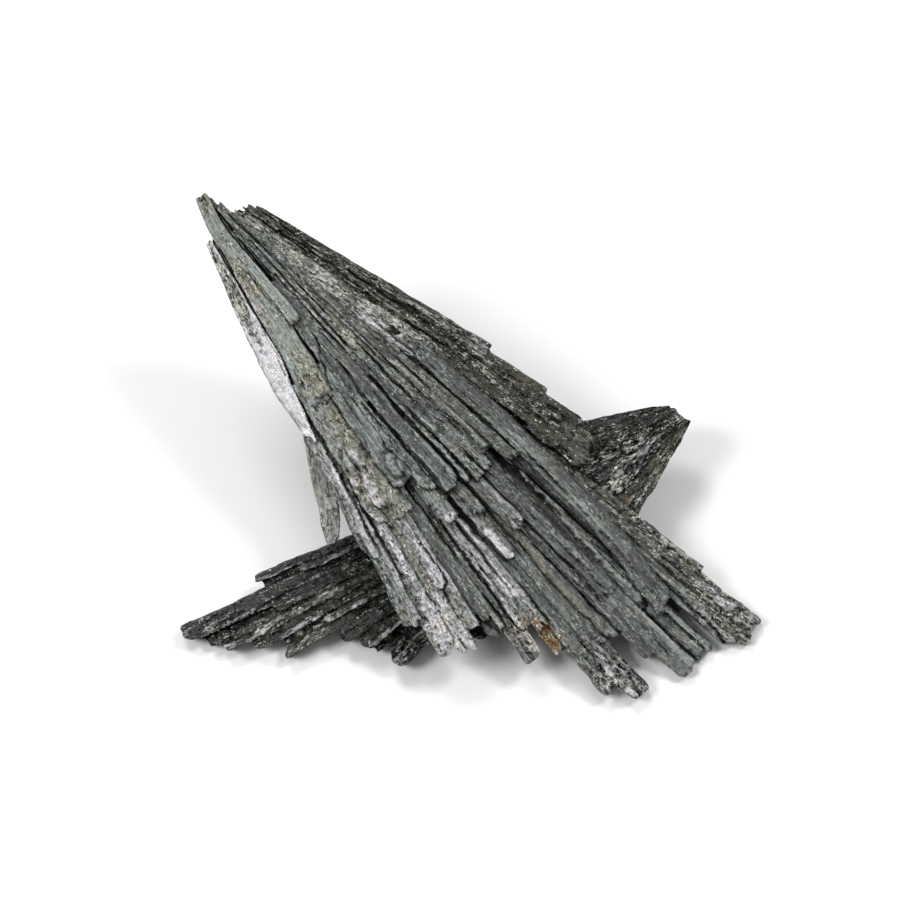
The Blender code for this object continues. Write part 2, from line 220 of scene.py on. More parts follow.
# Cracks: the places they run through, each an angle and a distance, then their width and depth in mm.
LEFT_CRACKS = [
    ([(-2.6, 20), (-4.2, 26)], 0.18, 0.5),
    ([(-4.2, 26), (-4.8, 31), (-6, 35)], 0.3, 0.9),
    ([(-6, 35), (-8, 37), (-8.6, 39), (-9.5, 41)], 0.16, 0.7),
    ([(-9.6, 22), (-9.2, 26), (-8.6, 29.5)], 0.18, 0.5),
    ([(-14.4, 29), (-15, 31), (-14.7, 33.5), (-15.2, 36.5)], 0.16, 0.6),
    ([(-14, 42.3), (-12.6, 41.6), (-11.6, 42.2), (-9.9, 41.6)], 0.16, 0.5),
    ([(-7, 44), (-7.6, 49), (-8.2, 53)], 0.3, 0.9),
]
CENTRE_CRACKS = [
    ([(-5.4, 38), (-5.7, 47), (-5.5, 60)], 0.35, 0.9),
    ([(-2.3, 42), (-2.9, 50), (-2.8, 61)], 0.3, 0.8),
    ([(-5.5, 63), (-5.4, 68)], 0.7, 2),
    ([(-8.6, 60.5), (-8.3, 66)], 0.5, 1.6),
]
BROOM_CRACKS = [
    ([(3.6, 80), (4.1, 86), (4, 92), (3.6, 97)], 0.3, 0.8),
    ([(2.9, 58), (2.4, 63), (1.6, 70), (1, 75)], 1.1, 1.8),
    ([(-1.8, 66), (-2, 76), (-1.8, 86)], 0.3, 0.9),
    ([(-5.9, 60.5), (-5.7, 64), (-5.9, 67)], 0.45, 1.6),
]
FLANK_CRACKS = [
    ([(10.6, 20), (11, 27), (10.4, 33)], 0.25, 0.8),
    ([(9.4, 34), (10, 40), (10.6, 46)], 0.35, 1),
    ([(12.6, 30), (12.2, 38), (12.6, 44)], 0.2, 0.6),
    ([(7.6, 44), (8.2, 52), (8, 60)], 0.3, 0.9),
    ([(12, 46), (11.4, 54), (11, 61)], 0.25, 0.8),
]


class Finish(NamedTuple):
    """How a blade splits and weathers, in mm unless a line says otherwise."""

    laths: float  # how many it splits into, for each mm of its width
    proud: float  # how far laths stand above or below their neighbours
    lean: float  # how far they lean at random, in degrees
    groove: float  # how deep the gaps between them are
    gap: float  # from one broken step to the next
    step: float  # how high the steps are
    skin: float  # how high fibres, flakes and grit stand
    chip: float  # how high broken chips stand
    crown: float  # how far the edges lie below the middle, as a share of half the width
    bevel: float  # how far the very edges drop
    seam: float  # how deep the seam to the next blade is
    silver: float  # how silvery it is, as a share
    vary: float  # how far that varies from lath to lath
    dust: float  # how dusty it is, as a share
    tone: float  # how light against the other finishes
    speckle: float  # how strongly its flecks differ


# The keel is built lath by lath, which takes no chip, bevel, seam or vary, so these are zero for it.
FINISHES = {
    "ridge": Finish(0.4, 0.05, 4, 0.08, 6, 0.08, 0.05, 0.05, 0.25, 0.1, 0.05, 0.12, 0.1, 0.22, 1.4, 0.7),
    # The next finish: a silvery skin, painted paler and lighter as the sheen of the flank that faces the key
    # lamp.
    "foil": Finish(0.5, 0.05, 5, 0.06, 7, 0.08, 0.07, 0.02, 0.1, 0.1, 0.05, 0.92, 0.05, 0, 1.6, 1),
    "glitter": Finish(0.8, 0.06, 6, 0.2, 4, 0.12, 0.065, 0.12, 0.15, 0.12, 0.12, 0.2, 0.1, 0.3, 0.5, 1.1),
    "plain": Finish(0.8, 0.08, 7, 0.28, 5, 0.12, 0.045, 0.08, 0.14, 0.26, 0.5, 0.1, 0.1, 0.2, -0.2, 0.7),
    "smooth": Finish(0.5, 0.05, 5, 0.2, 9, 0.08, 0.04, 0.04, 0.14, 0.2, 0.3, 0, 0.05, 0.1, -0.1, 0.4),
    "slab": Finish(0.6, 0.05, 4, 0.2, 6, 0.09, 0.04, 0.05, 0.08, 0.22, 0.25, 0.04, 0.08, 0.12, -0.4, 0.5),
    "silver": Finish(0.7, 0.1, 9, 0.28, 4, 0.16, 0.06, 0.1, 0.16, 0.22, 0.4, 0.42, 0.16, 0.22, 0.8, 0.7),
    "dusty": Finish(0.5, 0.1, 6, 0.18, 4, 0.16, 0.06, 0.1, 0.14, 0.14, 0.12, 0.22, 0.1, 0.4, 1.2, 0.8),
    "rough": Finish(0.9, 0.1, 8, 0.3, 4, 0.2, 0.06, 0.12, 0.14, 0.16, 0.25, 0.04, 0.08, 0.3, -0.6, 0.75),
    "coal": Finish(0.8, 0.08, 8, 0.22, 5, 0.14, 0.055, 0.08, 0.12, 0.14, 0.18, 0.1, 0.09, 0.24, -2.9, 0.64),
    "slate": Finish(0.4, 0.05, 4, 0.14, 5, 0.08, 0.08, 0.09, 0.05, 0.08, 0.08, 0.04, 0.06, 0.15, -2.6, 0.7),
    "keel": Finish(1, 0.4, 16, 0.07, 4, 0.14, 0.035, 0, 0.25, 0, 0, 0.05, 0, 0.2, -1.2, 0.5),
    "dark": Finish(0.3, 0.2, 8, 0.05, 8, 0.2, 0.02, 0.05, 0.2, 0.3, 0.2, 0, 0.05, 0.1, -0.9, 0.4),
}

# Knobs: the piece, the angles and distances they lie between, how many, their radius and height in mm.
KNOBS = [
    ("left_ridge", -15, -11, 48, 59.5, 13, 1.15, 0.36),
    ("left_ridge", -11, -7.5, 53, 59.5, 6, 0.9, 0.32),
    ("centre_blades", -7.5, 1.5, 56.5, 60.5, 4, 0.6, 0.25),
    ("centre_blades", -8, -1, 61, 68, 5, 0.6, 0.3),
    ("far_flank", 4.5, 13.5, 22, 64, 10, 0.8, 0.2),
    ("right_broom", 3.5, 7.5, 82, 97, 4, 0.9, 0.2),
    ("left_wing", -3, 18, 46, 70, 10, 0.8, 0.25),
]

# Patches: where the middle is, its half width and half length in mm, then how much silver, dust and rust it
# adds, how much lighter it is, how far it stands out (mm) and how much rougher it is (mm).
MAIN_PATCHES = [
    (-11.1, 23.5, 0.9, 4.5, 0, 0.5, 0.35, 0.3, 0, 0.04),
    (-13.2, 26, 0.7, 6, 0.3, 0.4, 0.2, 0.8, 0, 0.04),
    (-17, 22.6, 1.7, 9, -0.6, 0.3, 0.1, -0.5, 0, 0.06),
    (-6.9, 71.5, 0.6, 5.5, 0.7, -0.3, 0, 0.8, 0.05, 0),
    (-4.7, 68.2, 0.6, 3.2, 0.8, -0.3, 0, 0.8, 0.05, 0),
    (-13.2, 72, 0.7, 5, 0.7, -0.2, 0, 1, 0, 0.02),
    (11.8, 30, 2.2, 12, 0, 0.15, 0.05, -1.6, 0, 0),
    (12.4, 56, 2.6, 12, 0, 0.15, 0.05, -1.8, 0, 0),
    (8.6, 56, 1.8, 10, 0, 0.1, 0.05, -1.2, 0, 0),
    (-11.5, 38.5, 1.8, 3.2, 0.2, 0.5, 0.1, 1.5, 0.1, 0.06),
    (-12, 46, 1.6, 4, 0, 0.8, 0.1, 0.8, 0, 0.02),
    (-9, 48.5, 1.4, 3.6, 0, -0.6, 0, 0.4, -0.1, -0.08),
    (-12.6, 54.5, 2.8, 5.4, 0.28, 0.9, 0.15, 2.8, 0.2, 0.05),
    (5.6, 61, 1, 5.5, 0, -0.3, 0, 1.5, 0, -0.02),
    (4.2, 72, 1, 7, 0, -0.3, 0, 1.6, 0, -0.02),
    # Painted shade: the hollow between the centre blades and the light band, sunk and drawn darker.
    (2.2, 64, 0.9, 6, -0.2, 0, 0, -3, -0.7, 0),
    (1.4, 73, 0.7, 6, -0.2, 0, 0, -2, -0.4, 0),
    (-14.8, 62, 1, 6, 0.5, 0.2, 0, 0.8, 0, 0.05),
    (-14, 74.5, 2.4, 7, 0.9, 0.2, 0, 2.2, 0, 0.08),
    (-11.6, 66, 0.9, 5, 0.5, 0.3, 0, 0.6, 0, 0.04),
    (6.2, 28.5, 1.6, 3.6, 0.5, 0.1, 0, 3.2, 0.1, 0.05),
    (6.4, 23.4, 0.9, 3.4, 0.2, 0.2, 0, 1.8, 0, 0.04),
    (6.3, 36.5, 1.5, 3.6, 0.4, 0.1, 0, 2.2, 0.1, 0.04),
    (8.8, 38, 1.3, 3.8, 0.2, 0.3, 0, 1.4, 0, 0.04),
    (7.2, 42.5, 1.6, 3.6, 0.2, 0.3, 0, 1, 0, 0.03),
    (12.2, 49, 1, 4, 0.3, 0.2, 0, 1, 0.1, 0.05),
    (0.4, 35, 1, 6, 0.2, 0.6, 0.35, 0.6, 0, 0.05),
    (-1.8, 30, 1, 7, 0.4, 0.3, 0.05, 1, 0, 0.05),
    (-7, 62.3, 0.9, 1.2, 0.9, 0, 0, 1.2, 0.5, 0.05),
    (-1.8, 67.5, 1.2, 1.6, 0.2, 0.2, 0, 0.4, 0.3, 0.08),
    (-7.2, 80.6, 2.3, 4.4, -0.3, 0.3, 1.3, 0.3, 0, 0.1),
    (-4.6, 89.5, 2.6, 5.6, 0.5, 0.2, 0.2, -0.4, 0.1, 0.13),
    (-8.6, 80, 1.6, 4, 0.4, 0.1, 0, 0.2, 0, 0.06),
    (5.4, 93, 4, 6, 0.38, 0.2, 0.05, 0.8, 0, 0.07),
    (7.2, 82, 1.4, 14, 0.1, 0.2, 0.05, -0.3, 0, 0.05),
    (-2, 48, 4.5, 12, 0, 0, 0, -0.7, 0, 0),
    (3.2, 76, 1.8, 9, 0, 0, 0, -0.6, 0, 0),
]
CROSS_PATCHES = [
    # A painted highlight streak along the right wing, and beside it a rougher spot with more painted glints.
    (15.7, 10.2, 0.55, 3.8, 1.3, -0.3, 0, 2.4, 0.15, 0.02),
    (16.5, 11.5, 1.3, 5, 0.2, -0.2, 0, 0.8, 0.1, 0.12),
    (20, 17, 1.6, 4, 0.1, 0.1, 0, 0.5, 0, 0.12),
    (4, 12, 1.6, 6, 0, 0.1, 0, 0.2, 0, 0.08),
    (29, 17, 0.7, 1.4, 0, 0.4, 0.6, 0.2, 0, 0.05),
    (33.5, 11, 1.5, 7, 0.1, 0.6, 0, 3, 0, 0.04),
    (20, 3.6, 1.6, 1.6, 0.1, 0.5, 0, 2.6, 0, 0.04),
    (-3.3, 55.2, 0.8, 1.4, 0.3, 0.4, 0, 2, 0, 0.03),
    (-1.1, 52.6, 0.8, 1.9, 0.3, 0.3, 0, 1.6, 0, 0.03),
    (1.5, 52.9, 0.8, 1.9, 0.3, 0.5, 0, 1.8, 0, 0.03),
    (11.4, 50.5, 0.7, 0.9, 0, 0.6, 0.7, 0.8, 0.3, 0.05),
    (14.6, 50.5, 1.8, 2, 0.1, 0, 0, 0.2, 0.7, 0.05),
    (-0.6, 66, 1.6, 4, 0.1, 0.2, 0, 0.5, 0.1, 0.08),
    (2, 61.5, 1.2, 4, 0.15, 0.2, 0, 0.6, 0, 0.08),
    (4.5, 57, 1.2, 3.5, 0.15, 0.2, 0, 0.5, 0, 0.08),
]


# ---- Helpers

NOISE_SIZE = 256  # after so many swells a pattern repeats


def unit(v):
    return v / np.linalg.norm(v)


def heading(degrees):
    turn = math.radians(degrees)
    return np.array((math.cos(turn), math.sin(turn), 0.0))


def noise(rng, u, v):
    """Smooth unevenness about zero over a plane, with one swell to a unit."""
    levels = rng.uniform(-1, 1, (NOISE_SIZE, NOISE_SIZE))
    i, j = np.floor(u).astype(int), np.floor(v).astype(int)
    a, b = u - i, v - j
    a, b = a * a * (3 - 2 * a), b * b * (3 - 2 * b)
    i, j, k, l = (index % NOISE_SIZE for index in (i, j, i + 1, j + 1))
    near_side = levels[i, j] * (1 - a) + levels[k, j] * a
    far_side = levels[i, l] * (1 - a) + levels[k, l] * a
    return near_side * (1 - b) + far_side * b


def swells(rng, u, v, *sizes):
    """Unevenness of several sizes of swell, each given by its height and its length along u and along v."""
    return sum(height * noise(rng, u / long_u, v / long_v) for height, long_u, long_v in sizes)


def shards(rng, u, v):
    """Angular cells over a plane, one to a unit: a level of its own for each, and how far off the seam is."""
    corner_u, corner_v, levels = rng.uniform(0, 1, (3, NOISE_SIZE, NOISE_SIZE))
    i, j = np.floor(u).astype(int), np.floor(v).astype(int)
    best, second, level = np.full(u.shape, np.inf), np.full(u.shape, np.inf), np.zeros(u.shape)
    for k in (i - 1, i, i + 1):
        for l in (j - 1, j, j + 1):
            a, b = k % NOISE_SIZE, l % NOISE_SIZE
            off = np.hypot(k + corner_u[a, b] - u, l + corner_v[a, b] - v)
            closer = off < best
            second = np.where(closer, best, np.minimum(second, off))
            level = np.where(closer, levels[a, b], level)
            best = np.minimum(best, off)
    return level, second - best


def sum_around(values, tall, wide):
    """At each point of a grid, the sum over the points up to so many rows and columns away."""
    for reach in (tall, wide):
        total = np.cumsum(np.pad(values, ((reach + 1, reach), (0, 0))), axis=0)
        values = (total[2 * reach + 1:] - total[:-2 * reach - 1]).T
    return values


class Spray:
    """A plane of blades that fan out from one root."""

    def __init__(self, root, slope, falls_to, axis):
        tilt = math.radians(slope)
        self.root = np.array(root)
        self.normal = heading(falls_to) * math.sin(tilt) + np.array((0.0, 0.0, math.cos(tilt)))
        level = np.array((1.0, 0.0, 0.0))
        self.along_x = unit(level - self.normal * level.dot(self.normal))
        self.along_y = np.cross(self.normal, self.along_x)
        self.axis = axis

    def places(self, angle, distance, rise):
        turn = np.radians(self.axis + angle)[:, None]
        ray = self.along_x * np.cos(turn) + self.along_y * np.sin(turn)
        return self.root + ray * distance[:, None] + RISE * (rise / RISE.dot(self.normal))[:, None]


class Crust:
    """Collects closed shapes of stone and makes one mesh of them."""

    def __init__(self):
        self.shapes, self.count = [], 0

    def add(self, points, quads, tris, grain, finish, relief):
        """Takes in a shape: its points and faces, and for each point its place in the grain and its looks."""
        self.shapes.append((points, quads + self.count, tris + self.count, grain, finish, relief))
        self.count += len(points)

    def mesh(self, name):
        points, quads, tris, *looks = (np.concatenate(column) for column in zip(*self.shapes))
        low = points[:, 2] < FOOT
        points[low, 2] = FOOT * np.exp((points[low, 2] - FOOT) / FOOT)
        mesh = bpy.data.meshes.new(name)
        mesh.vertices.add(len(points))
        mesh.vertices.foreach_set("co", (points * MM).astype(np.float32).ravel())
        loops = np.concatenate([quads.ravel(), tris.ravel()])
        mesh.loops.add(len(loops))
        mesh.loops.foreach_set("vertex_index", loops.astype(np.int32))
        sizes = np.concatenate([np.full(len(quads), 4), np.full(len(tris), 3)])
        mesh.polygons.add(len(sizes))
        mesh.polygons.foreach_set("loop_start", (np.cumsum(sizes) - sizes).astype(np.int32))
        mesh.polygons.foreach_set("loop_total", sizes.astype(np.int32))
        mesh.update(calc_edges=True)
        for label, rows in zip(LOOKS, looks):
            made = mesh.attributes.new(label, "FLOAT_VECTOR", "POINT")
            made.data.foreach_set("vector", rows.astype(np.float32).ravel())
        mesh.validate()
        mesh.shade_smooth()
        mesh.set_sharp_from_angle(angle=math.radians(SHARP_ANGLE))
        return mesh


# ---- Blades grown together under one craggy skin

class Blade:
    """One flat blade over the points of a skin: where each point lies on it, and how high it stands there."""

    def __init__(self, row, angle, distance, rng):
        if isinstance(row[0], list):
            places, self.depth, lean, finish = row
        else:
            angle_0, from_0, angle_1, to_1, width_1, self.depth, rise_0, rise_1, lean, finish = row
            width_0 = max(THIN_END, width_1 * from_0 / to_1)
            places = [(angle_0, from_0, rise_0, width_0), (angle_1, to_1, rise_1, width_1)]
        self.rng, self.look, self.slope = rng, FINISHES[finish], math.tan(math.radians(lean))
        angles, distances, rises, widths = (np.array(column, float) for column in zip(*places))
        self.begin, self.end, self.length = distances[0], distances[-1], distances[-1] - distances[0]
        self.widest, self.end_width = widths.max(), widths[-1]
        knots, along = np.arange(len(places)), np.linspace(0, len(places) - 1, LINE_POINTS)
        x = np.interp(along, knots, distances * np.cos(np.radians(angles)))
        y = np.interp(along, knots, distances * np.sin(np.radians(angles)))
        line, turn = np.hypot(x, y), np.degrees(np.arctan2(y, x))

        off = np.radians(angle - np.interp(distance, line, turn)) * distance
        width = np.interp(distance, distances, widths)
        # A little more than half its width lies to either side, as its sides are uneven.
        self.near = (np.abs(off) < 0.62 * width) & (distance > self.begin) & (distance < self.end)
        self.off, self.width, self.at = off[self.near], width[self.near], distance[self.near]
        self.rise = np.interp(self.at, line, np.interp(along, knots, rises))
        self.side = 2 * self.off / self.width + swells(rng, self.at, self.off, (0.10, 2.0, 9))

    def split(self):
        """Splits it into laths with heights and leans of their own, and gaps that open here and there."""
        rng, look, side, at, off, width = self.rng, self.look, self.side, self.at, self.off, self.width
        self.count = count = max(1, round(look.laths * self.widest))
        bounds = np.linspace(-1, 1, count + 1)
        bounds[1:-1] += rng.uniform(-0.6, 0.6, count - 1) / count
        bent = side + swells(rng, at, off, (0.5, 9, 9), (0.10, 1.5, 2)) / count
        self.which = which = np.clip(np.searchsorted(bounds, bent) - 1, 0, count - 1)
        left, right = bounds[which], bounds[which + 1]
        to_gap = np.minimum(np.abs(bent - left), np.abs(right - bent)) * width / 2
        open_gap = np.clip(2.4 * noise(rng, at / 5, which * 1.7 + 0.5) - 0.5, 0, 1)
        drop = rng.normal(0, look.proud, count)
        tilt = np.tan(np.radians(rng.normal(0, look.lean, count)))
        self.height = self.rise + self.slope * off - look.crown * width / 2 * side ** 2
        self.height += drop[which] + tilt[which] * (bent - (left + right) / 2) * width / 2
        self.height -= look.groove * open_gap * np.exp(-(to_gap / GAP_WIDTH) ** 2)
        self.height -= look.bevel * np.clip((np.abs(side) - 0.80) / 0.20, 0, 1) ** 2

    def break_across(self):
        """Breaks steps across the laths, each of which fades out along its lath."""
        rng, at, off, which = self.rng, self.at, self.off, self.which
        self.ragged = at + swells(rng, off, at, (0.5, 1.0, 6), (0.2, 0.3, 3))
        for _ in range(max(1, round(self.length / self.look.gap / 3))):
            where = rng.uniform(self.begin, self.end, self.count)
            size = rng.normal(0, self.look.step, self.count)
            past = self.ragged - where[which]
            self.height += size[which] * np.clip(past / 0.25, 0, 1) * np.exp(-np.maximum(past, 0) / 5)

    def break_ends(self):
        """Ends each lath at a break of its own, and keeps in stone the points that lie on the blade."""
        rng, at, off, side, which, count = self.rng, self.at, self.off, self.side, self.which, self.count
        stop = self.end - np.abs(rng.normal(0, 0.5, count))
        stop -= (rng.random(count) < 0.30) * rng.uniform(0, 0.25, count) * self.length
        stop[rng.integers(count)] = self.end
        rounding = 0.22 * self.end_width * (1 - np.sqrt(1 - np.clip(side, -1, 1) ** 2))
        ragged = self.ragged + (rounding + swells(rng, off, at, (0.35, 0.45, 9)))
        start = self.begin + np.abs(rng.normal(0, 0.3, count))
        start[rng.integers(count)] = self.begin
        self.height -= 0.5 * np.clip(1 - (stop[which] - ragged) / 0.7, 0, 1) ** 2
        past = ragged > stop[which]
        self.height -= past * (0.35 + swells(rng, off, at, (0.25, 0.8, 3)))
        body_end = self.end - 0.3 - np.abs(swells(rng, off, at, (0.9, 1.1, 9)))
        self.stone = (np.abs(side) < 1) & (ragged > start[which]) & ~(past & (ragged > body_end))

    def colour_laths(self):
        """Where each point lies in the grain with its lath's tone, and how silvery and dusty that is."""
        rng, look, which, count = self.rng, self.look, self.which, self.count
        tone = look.tone + rng.normal(0, 0.3, count)
        silver = look.silver + rng.normal(0, look.vary, count)
        dust = look.dust + rng.normal(0, 0.12, count)
        shift = rng.uniform(0, BLADE_SPREAD, 2)
        grain = np.stack([self.off + shift[0], self.at + shift[1], tone[which]], -1)
        return grain, np.stack([silver[which], dust[which], 0 * self.at], -1)

    def underside(self):
        return self.rise + self.slope * self.off - self.depth * (1 - 0.5 * self.side ** 2)


class Relief:
    """The skin of a group of blades: heights over a grid of arcs and rays about the spray's root."""

    def __init__(self, spray, angles, distances, grid, rng):
        self.spray, self.rng, self.grid = spray, rng, grid
        arcs, rays = np.arange(*distances, grid[1]), np.arange(*angles, grid[0])
        self.distance, self.angle = np.meshgrid(arcs, rays, indexing="ij")
        shape = self.distance.shape
        self.angle += rng.uniform(-JITTER, JITTER, shape) * grid[0]
        self.distance += rng.uniform(-JITTER, JITTER, shape) * grid[1]
        self.kink = self.swells((0.35, 1.4, 4), (0.12, 0.5, 2))
        self.height, self.base = np.full(shape, EMPTY), np.full(shape, -EMPTY)
        self.grain, self.finish = np.zeros(shape + (3,)), np.zeros(shape + (3,))
        self.skin, self.chip, self.speckle, self.seam = np.zeros((4,) + shape)
        self.owner, self.blades = np.zeros(shape, int), 0

    def swells(self, *sizes):
        """Unevenness over the skin, each size by its height, its length in mm and its width in degrees."""
        return swells(self.rng, self.distance, self.angle, *sizes)

    def lay(self, row):
        """Raises the skin to one more blade, wherever that stands higher than those before it."""
        blade = Blade(row, self.angle, self.distance, self.rng)
        blade.split()
        blade.break_across()
        blade.break_ends()
        grain, finish = blade.colour_laths()
        self.blades += 1

        won = blade.stone & (blade.height > self.height[blade.near])
        spots = tuple(index[won] for index in np.nonzero(blade.near))
        self.height[spots], self.grain[spots], self.finish[spots] = blade.height[won], grain[won], finish[won]
        self.skin[spots], self.chip[spots] = blade.look.skin, blade.look.chip
        self.speckle[spots], self.seam[spots] = blade.look.speckle, blade.look.seam
        self.owner[spots] = self.blades
        spots = tuple(index[blade.stone] for index in np.nonzero(blade.near))
        self.base[spots] = np.minimum(self.base[spots], blade.underside()[blade.stone])

    def part_blades(self):
        """Opens a dark seam where one blade gives way to the next, closed again here and there."""
        off = np.full(self.distance.shape, np.inf)
        change = self.owner[:, 1:] != self.owner[:, :-1]
        off[:, 1:][change] = 0
        off[:, :-1][change] = 0
        step = self.grid[0] * math.radians(1) * self.distance
        for _ in range(SEAM_REACH):
            off[:, 1:] = np.minimum(off[:, 1:], off[:, :-1] + step[:, 1:])
            off[:, :-1] = np.minimum(off[:, :-1], off[:, 1:] + step[:, :-1])
        width = SEAM_WIDTH + self.swells((0.08, 2.5, 1.5))
        opened = np.clip(0.45 + self.swells((1.6, 5, 1.2)), 0, 1.2)
        self.height -= self.seam * opened * np.clip(1.35 - off / width, 0, 1)

    def crack(self, places, width, depth):
        """Opens a kinked crack through places given by angle and distance."""
        turns = np.radians(self.angle) + 0.6 * self.kink / self.distance
        x, y = self.distance * np.cos(turns), self.distance * np.sin(turns)
        angles, distances = np.transpose(places)
        xs, ys = distances * np.cos(np.radians(angles)), distances * np.sin(np.radians(angles))
        nearest = np.full(x.shape, np.inf)
        for i in range(len(xs) - 1):
            run = np.array((xs[i + 1] - xs[i], ys[i + 1] - ys[i]))
            share = np.clip(((x - xs[i]) * run[0] + (y - ys[i]) * run[1]) / run.dot(run), 0, 1)
            nearest = np.minimum(nearest, np.hypot(x - xs[i] - share * run[0], y - ys[i] - share * run[1]))
        vary = 0.55 + self.swells((0.45, 2.5, 3))
        self.height -= depth * vary * np.clip(1.3 - nearest / (width * vary), 0, 1)

    def patch(self, angle, distance, across, along, silver, dust, rust, tone, out, rough):
        """Changes the finish and the relief of one spot, with a ragged edge."""
        u = np.radians(self.angle - angle) * self.distance / across
        v = (self.distance - distance) / along
        edge = self.swells((0.35, 0.9, 1.2), (0.35, 0.35, 0.5))
        share = np.clip(1.6 - 1.5 * np.hypot(u, v) + edge, 0, 1)
        self.finish += share[..., None] * np.array((silver, dust, rust))
        self.grain[..., 2] += share * tone
        self.height += share * out
        self.skin = np.maximum(self.skin + share * rough, 0.01)
        self.chip = np.maximum(self.chip + share * 2 * rough, 0.01)
        self.speckle = np.clip(self.speckle + share * 8 * rough, 0, 2)

    def knobs(self, angle_0, angle_1, near, far, count, radius, out):
        """Lumps and short broken stubs, each with a cleft round it."""
        for _ in range(count):
            angle, distance = self.rng.uniform(angle_0, angle_1), self.rng.uniform(near, far)
            size = radius * self.rng.uniform(0.6, 1.3)
            u = np.radians(self.angle - angle) * self.distance + 0.5 * self.kink
            v = (self.distance - distance) / self.rng.uniform(1.0, 2.2) - 0.5 * self.kink
            far_off = np.hypot(u, v) / size
            dome = out * np.sqrt(np.clip(1 - far_off ** 2, 0, 1))
            cleft = 0.3 * out * np.exp(-((far_off - 1.1) / 0.16) ** 2)
            self.height += np.where(self.height > EMPTY / 2, dome - cleft, 0)

    def weather(self):
        """Fibres, lumps, grit and flakes over the whole skin, and broken chips in two sizes."""
        rng = self.rng
        across, along = self.grain[..., 0], self.grain[..., 1]
        fibre = swells(rng, across, along, (1.0, 0.28, 3.5), (0.6, 0.16, 1.6))
        lump = swells(rng, across, along, (1.0, 1.0, 2.2))
        grit = swells(rng, across, along, (1.0, 0.42, 0.6), (0.8, 0.22, 0.3))
        flake = swells(rng, across, along, (1.0, 0.9, 3.2), (0.5, 0.35, 1.1))
        flake = np.round(flake * 2.5) / 2.5
        self.height += self.skin * (0.6 * fibre + 1.4 * lump + 1.2 * grit + 1.4 * flake)
        bend = swells(rng, across, along, (0.5, 0.5, 0.7))
        for size, share in CHIPS:
            level, seam = shards(rng, across / size + bend, along / size / CHIP_LENGTH + bend)
            self.height += share * self.chip * (1.6 * (level - 0.5) - 1.3 * np.exp(-(seam / 0.11) ** 2))
        self.solid = self.height > EMPTY / 2

    def find_sunk(self):
        """How far each spot is sunk (1) or proud (-1) against the stone within about 0.8 mm of it."""
        tall = max(2, int(0.8 / self.grid[1]))
        wide = max(2, int(0.7 / (self.grid[0] * math.radians(1) * self.distance.mean())))
        weight = sum_around(self.solid * 1.0, tall, wide)
        around = sum_around(np.where(self.solid, self.height, 0.0), tall, wide) / np.maximum(weight, 1)
        self.sunk = np.clip((around - self.height) / 0.45, -1, 1)

    def even_rim(self, rim):
        """Draws the stepped rim of the skin out into smooth runs."""
        for _ in range(RIM_ROUNDS):
            near, angle, distance = np.zeros((3,) + rim.shape)
            for hop in ((-1, -1), (-1, 0), (-1, 1), (0, -1), (0, 1), (1, -1), (1, 0), (1, 1)):
                beside = np.roll(rim, hop, (0, 1))
                near += beside
                angle += beside * np.roll(self.angle, hop, (0, 1))
                distance += beside * np.roll(self.distance, hop, (0, 1))
            moved = rim & (near > 0)
            self.angle[moved] = (self.angle[moved] + angle[moved] / near[moved]) / 2
            self.distance[moved] = (self.distance[moved] + distance[moved] / near[moved]) / 2

    def inward(self, used, rim):
        """The way into the stone from each point of the rim, across and along the rays."""
        weight = sum_around(used * 1.0, 3, 3)
        across = np.gradient(weight, axis=1) / (self.grid[0] * math.radians(1) * self.distance)
        along = np.gradient(weight, axis=0) / self.grid[1]
        way = np.stack([across, along], -1)[rim]
        return way / np.maximum(np.linalg.norm(way, axis=1, keepdims=True), 1e-6)

    def face(self, used, height, down, wear_and_highlight, painted_shade):
        """The upper face or the underside: which points it has, their places, grain, finish and relief."""
        places = self.spray.places(self.angle[used], self.distance[used], height[used])
        grain = self.grain[used] + np.stack([down[used], 0 * down[used], 0 * down[used]], -1)
        relief = np.stack([painted_shade[used], self.speckle[used], 0 * down[used]], -1)
        return used, places, grain, wear_and_highlight * self.finish[used], relief

    def wall(self, rim, inward, thick, share):
        """A line of points part of the way down the wall, uneven as a broken edge is, in the same form."""
        rng, across, along = self.rng, self.grain[rim][:, 0], self.grain[rim][:, 1]
        sunk = 0.10 + swells(rng, along, across, (0.12, 3.0, 1.5), (0.10, 0.8, 0.8))
        moved = inward * sunk[:, None]
        angle = self.angle[rim] + np.degrees(moved[:, 0] / self.distance[rim])
        down = (share + swells(rng, along, across, (0.10, 4.0, 2.0))) * thick[rim]
        places = self.spray.places(angle, self.distance[rim] + moved[:, 1], self.height[rim] - down)
        tone = swells(rng, along, across, (0.6, 5, 2))
        grain = self.grain[rim] + np.stack([down, 0 * down, tone], -1)
        # Painted shade: the wall's points are drawn a little darker, as if in shade.
        relief = np.stack([np.full(len(down), 0.3), self.speckle[rim], 0 * down], -1)
        return rim, places, grain, 0.5 * self.finish[rim], relief

    def into(self, crust):
        """Adds the skin, an underside and the layered walls between them to a crust."""
        solid = self.solid
        cell = solid[:-1, :-1] & solid[1:, :-1] & solid[:-1, 1:] & solid[1:, 1:]
        padded = np.pad(cell, 1)
        corners = (padded[:-1, :-1], padded[1:, :-1], padded[:-1, 1:], padded[1:, 1:])
        used = np.any(corners, axis=0)
        rim = used & ~np.all(corners, axis=0)
        self.even_rim(rim)
        base = np.minimum(self.base, self.height - THINNEST)
        thick, inward = self.height - base, self.inward(used, rim)
        # The top's sunk spots are painted darker as shade and its proud ones lighter as a highlight; the
        # walls are painted partly shaded and the underside fully shaded.
        layers = [self.face(used, self.height, 0 * thick, 1.0, self.sunk)]
        layers += [self.wall(rim, inward, thick, share) for share in WALL_LAYERS]
        layers.append(self.face(used, base, thick, 0.2, np.ones(used.shape)))

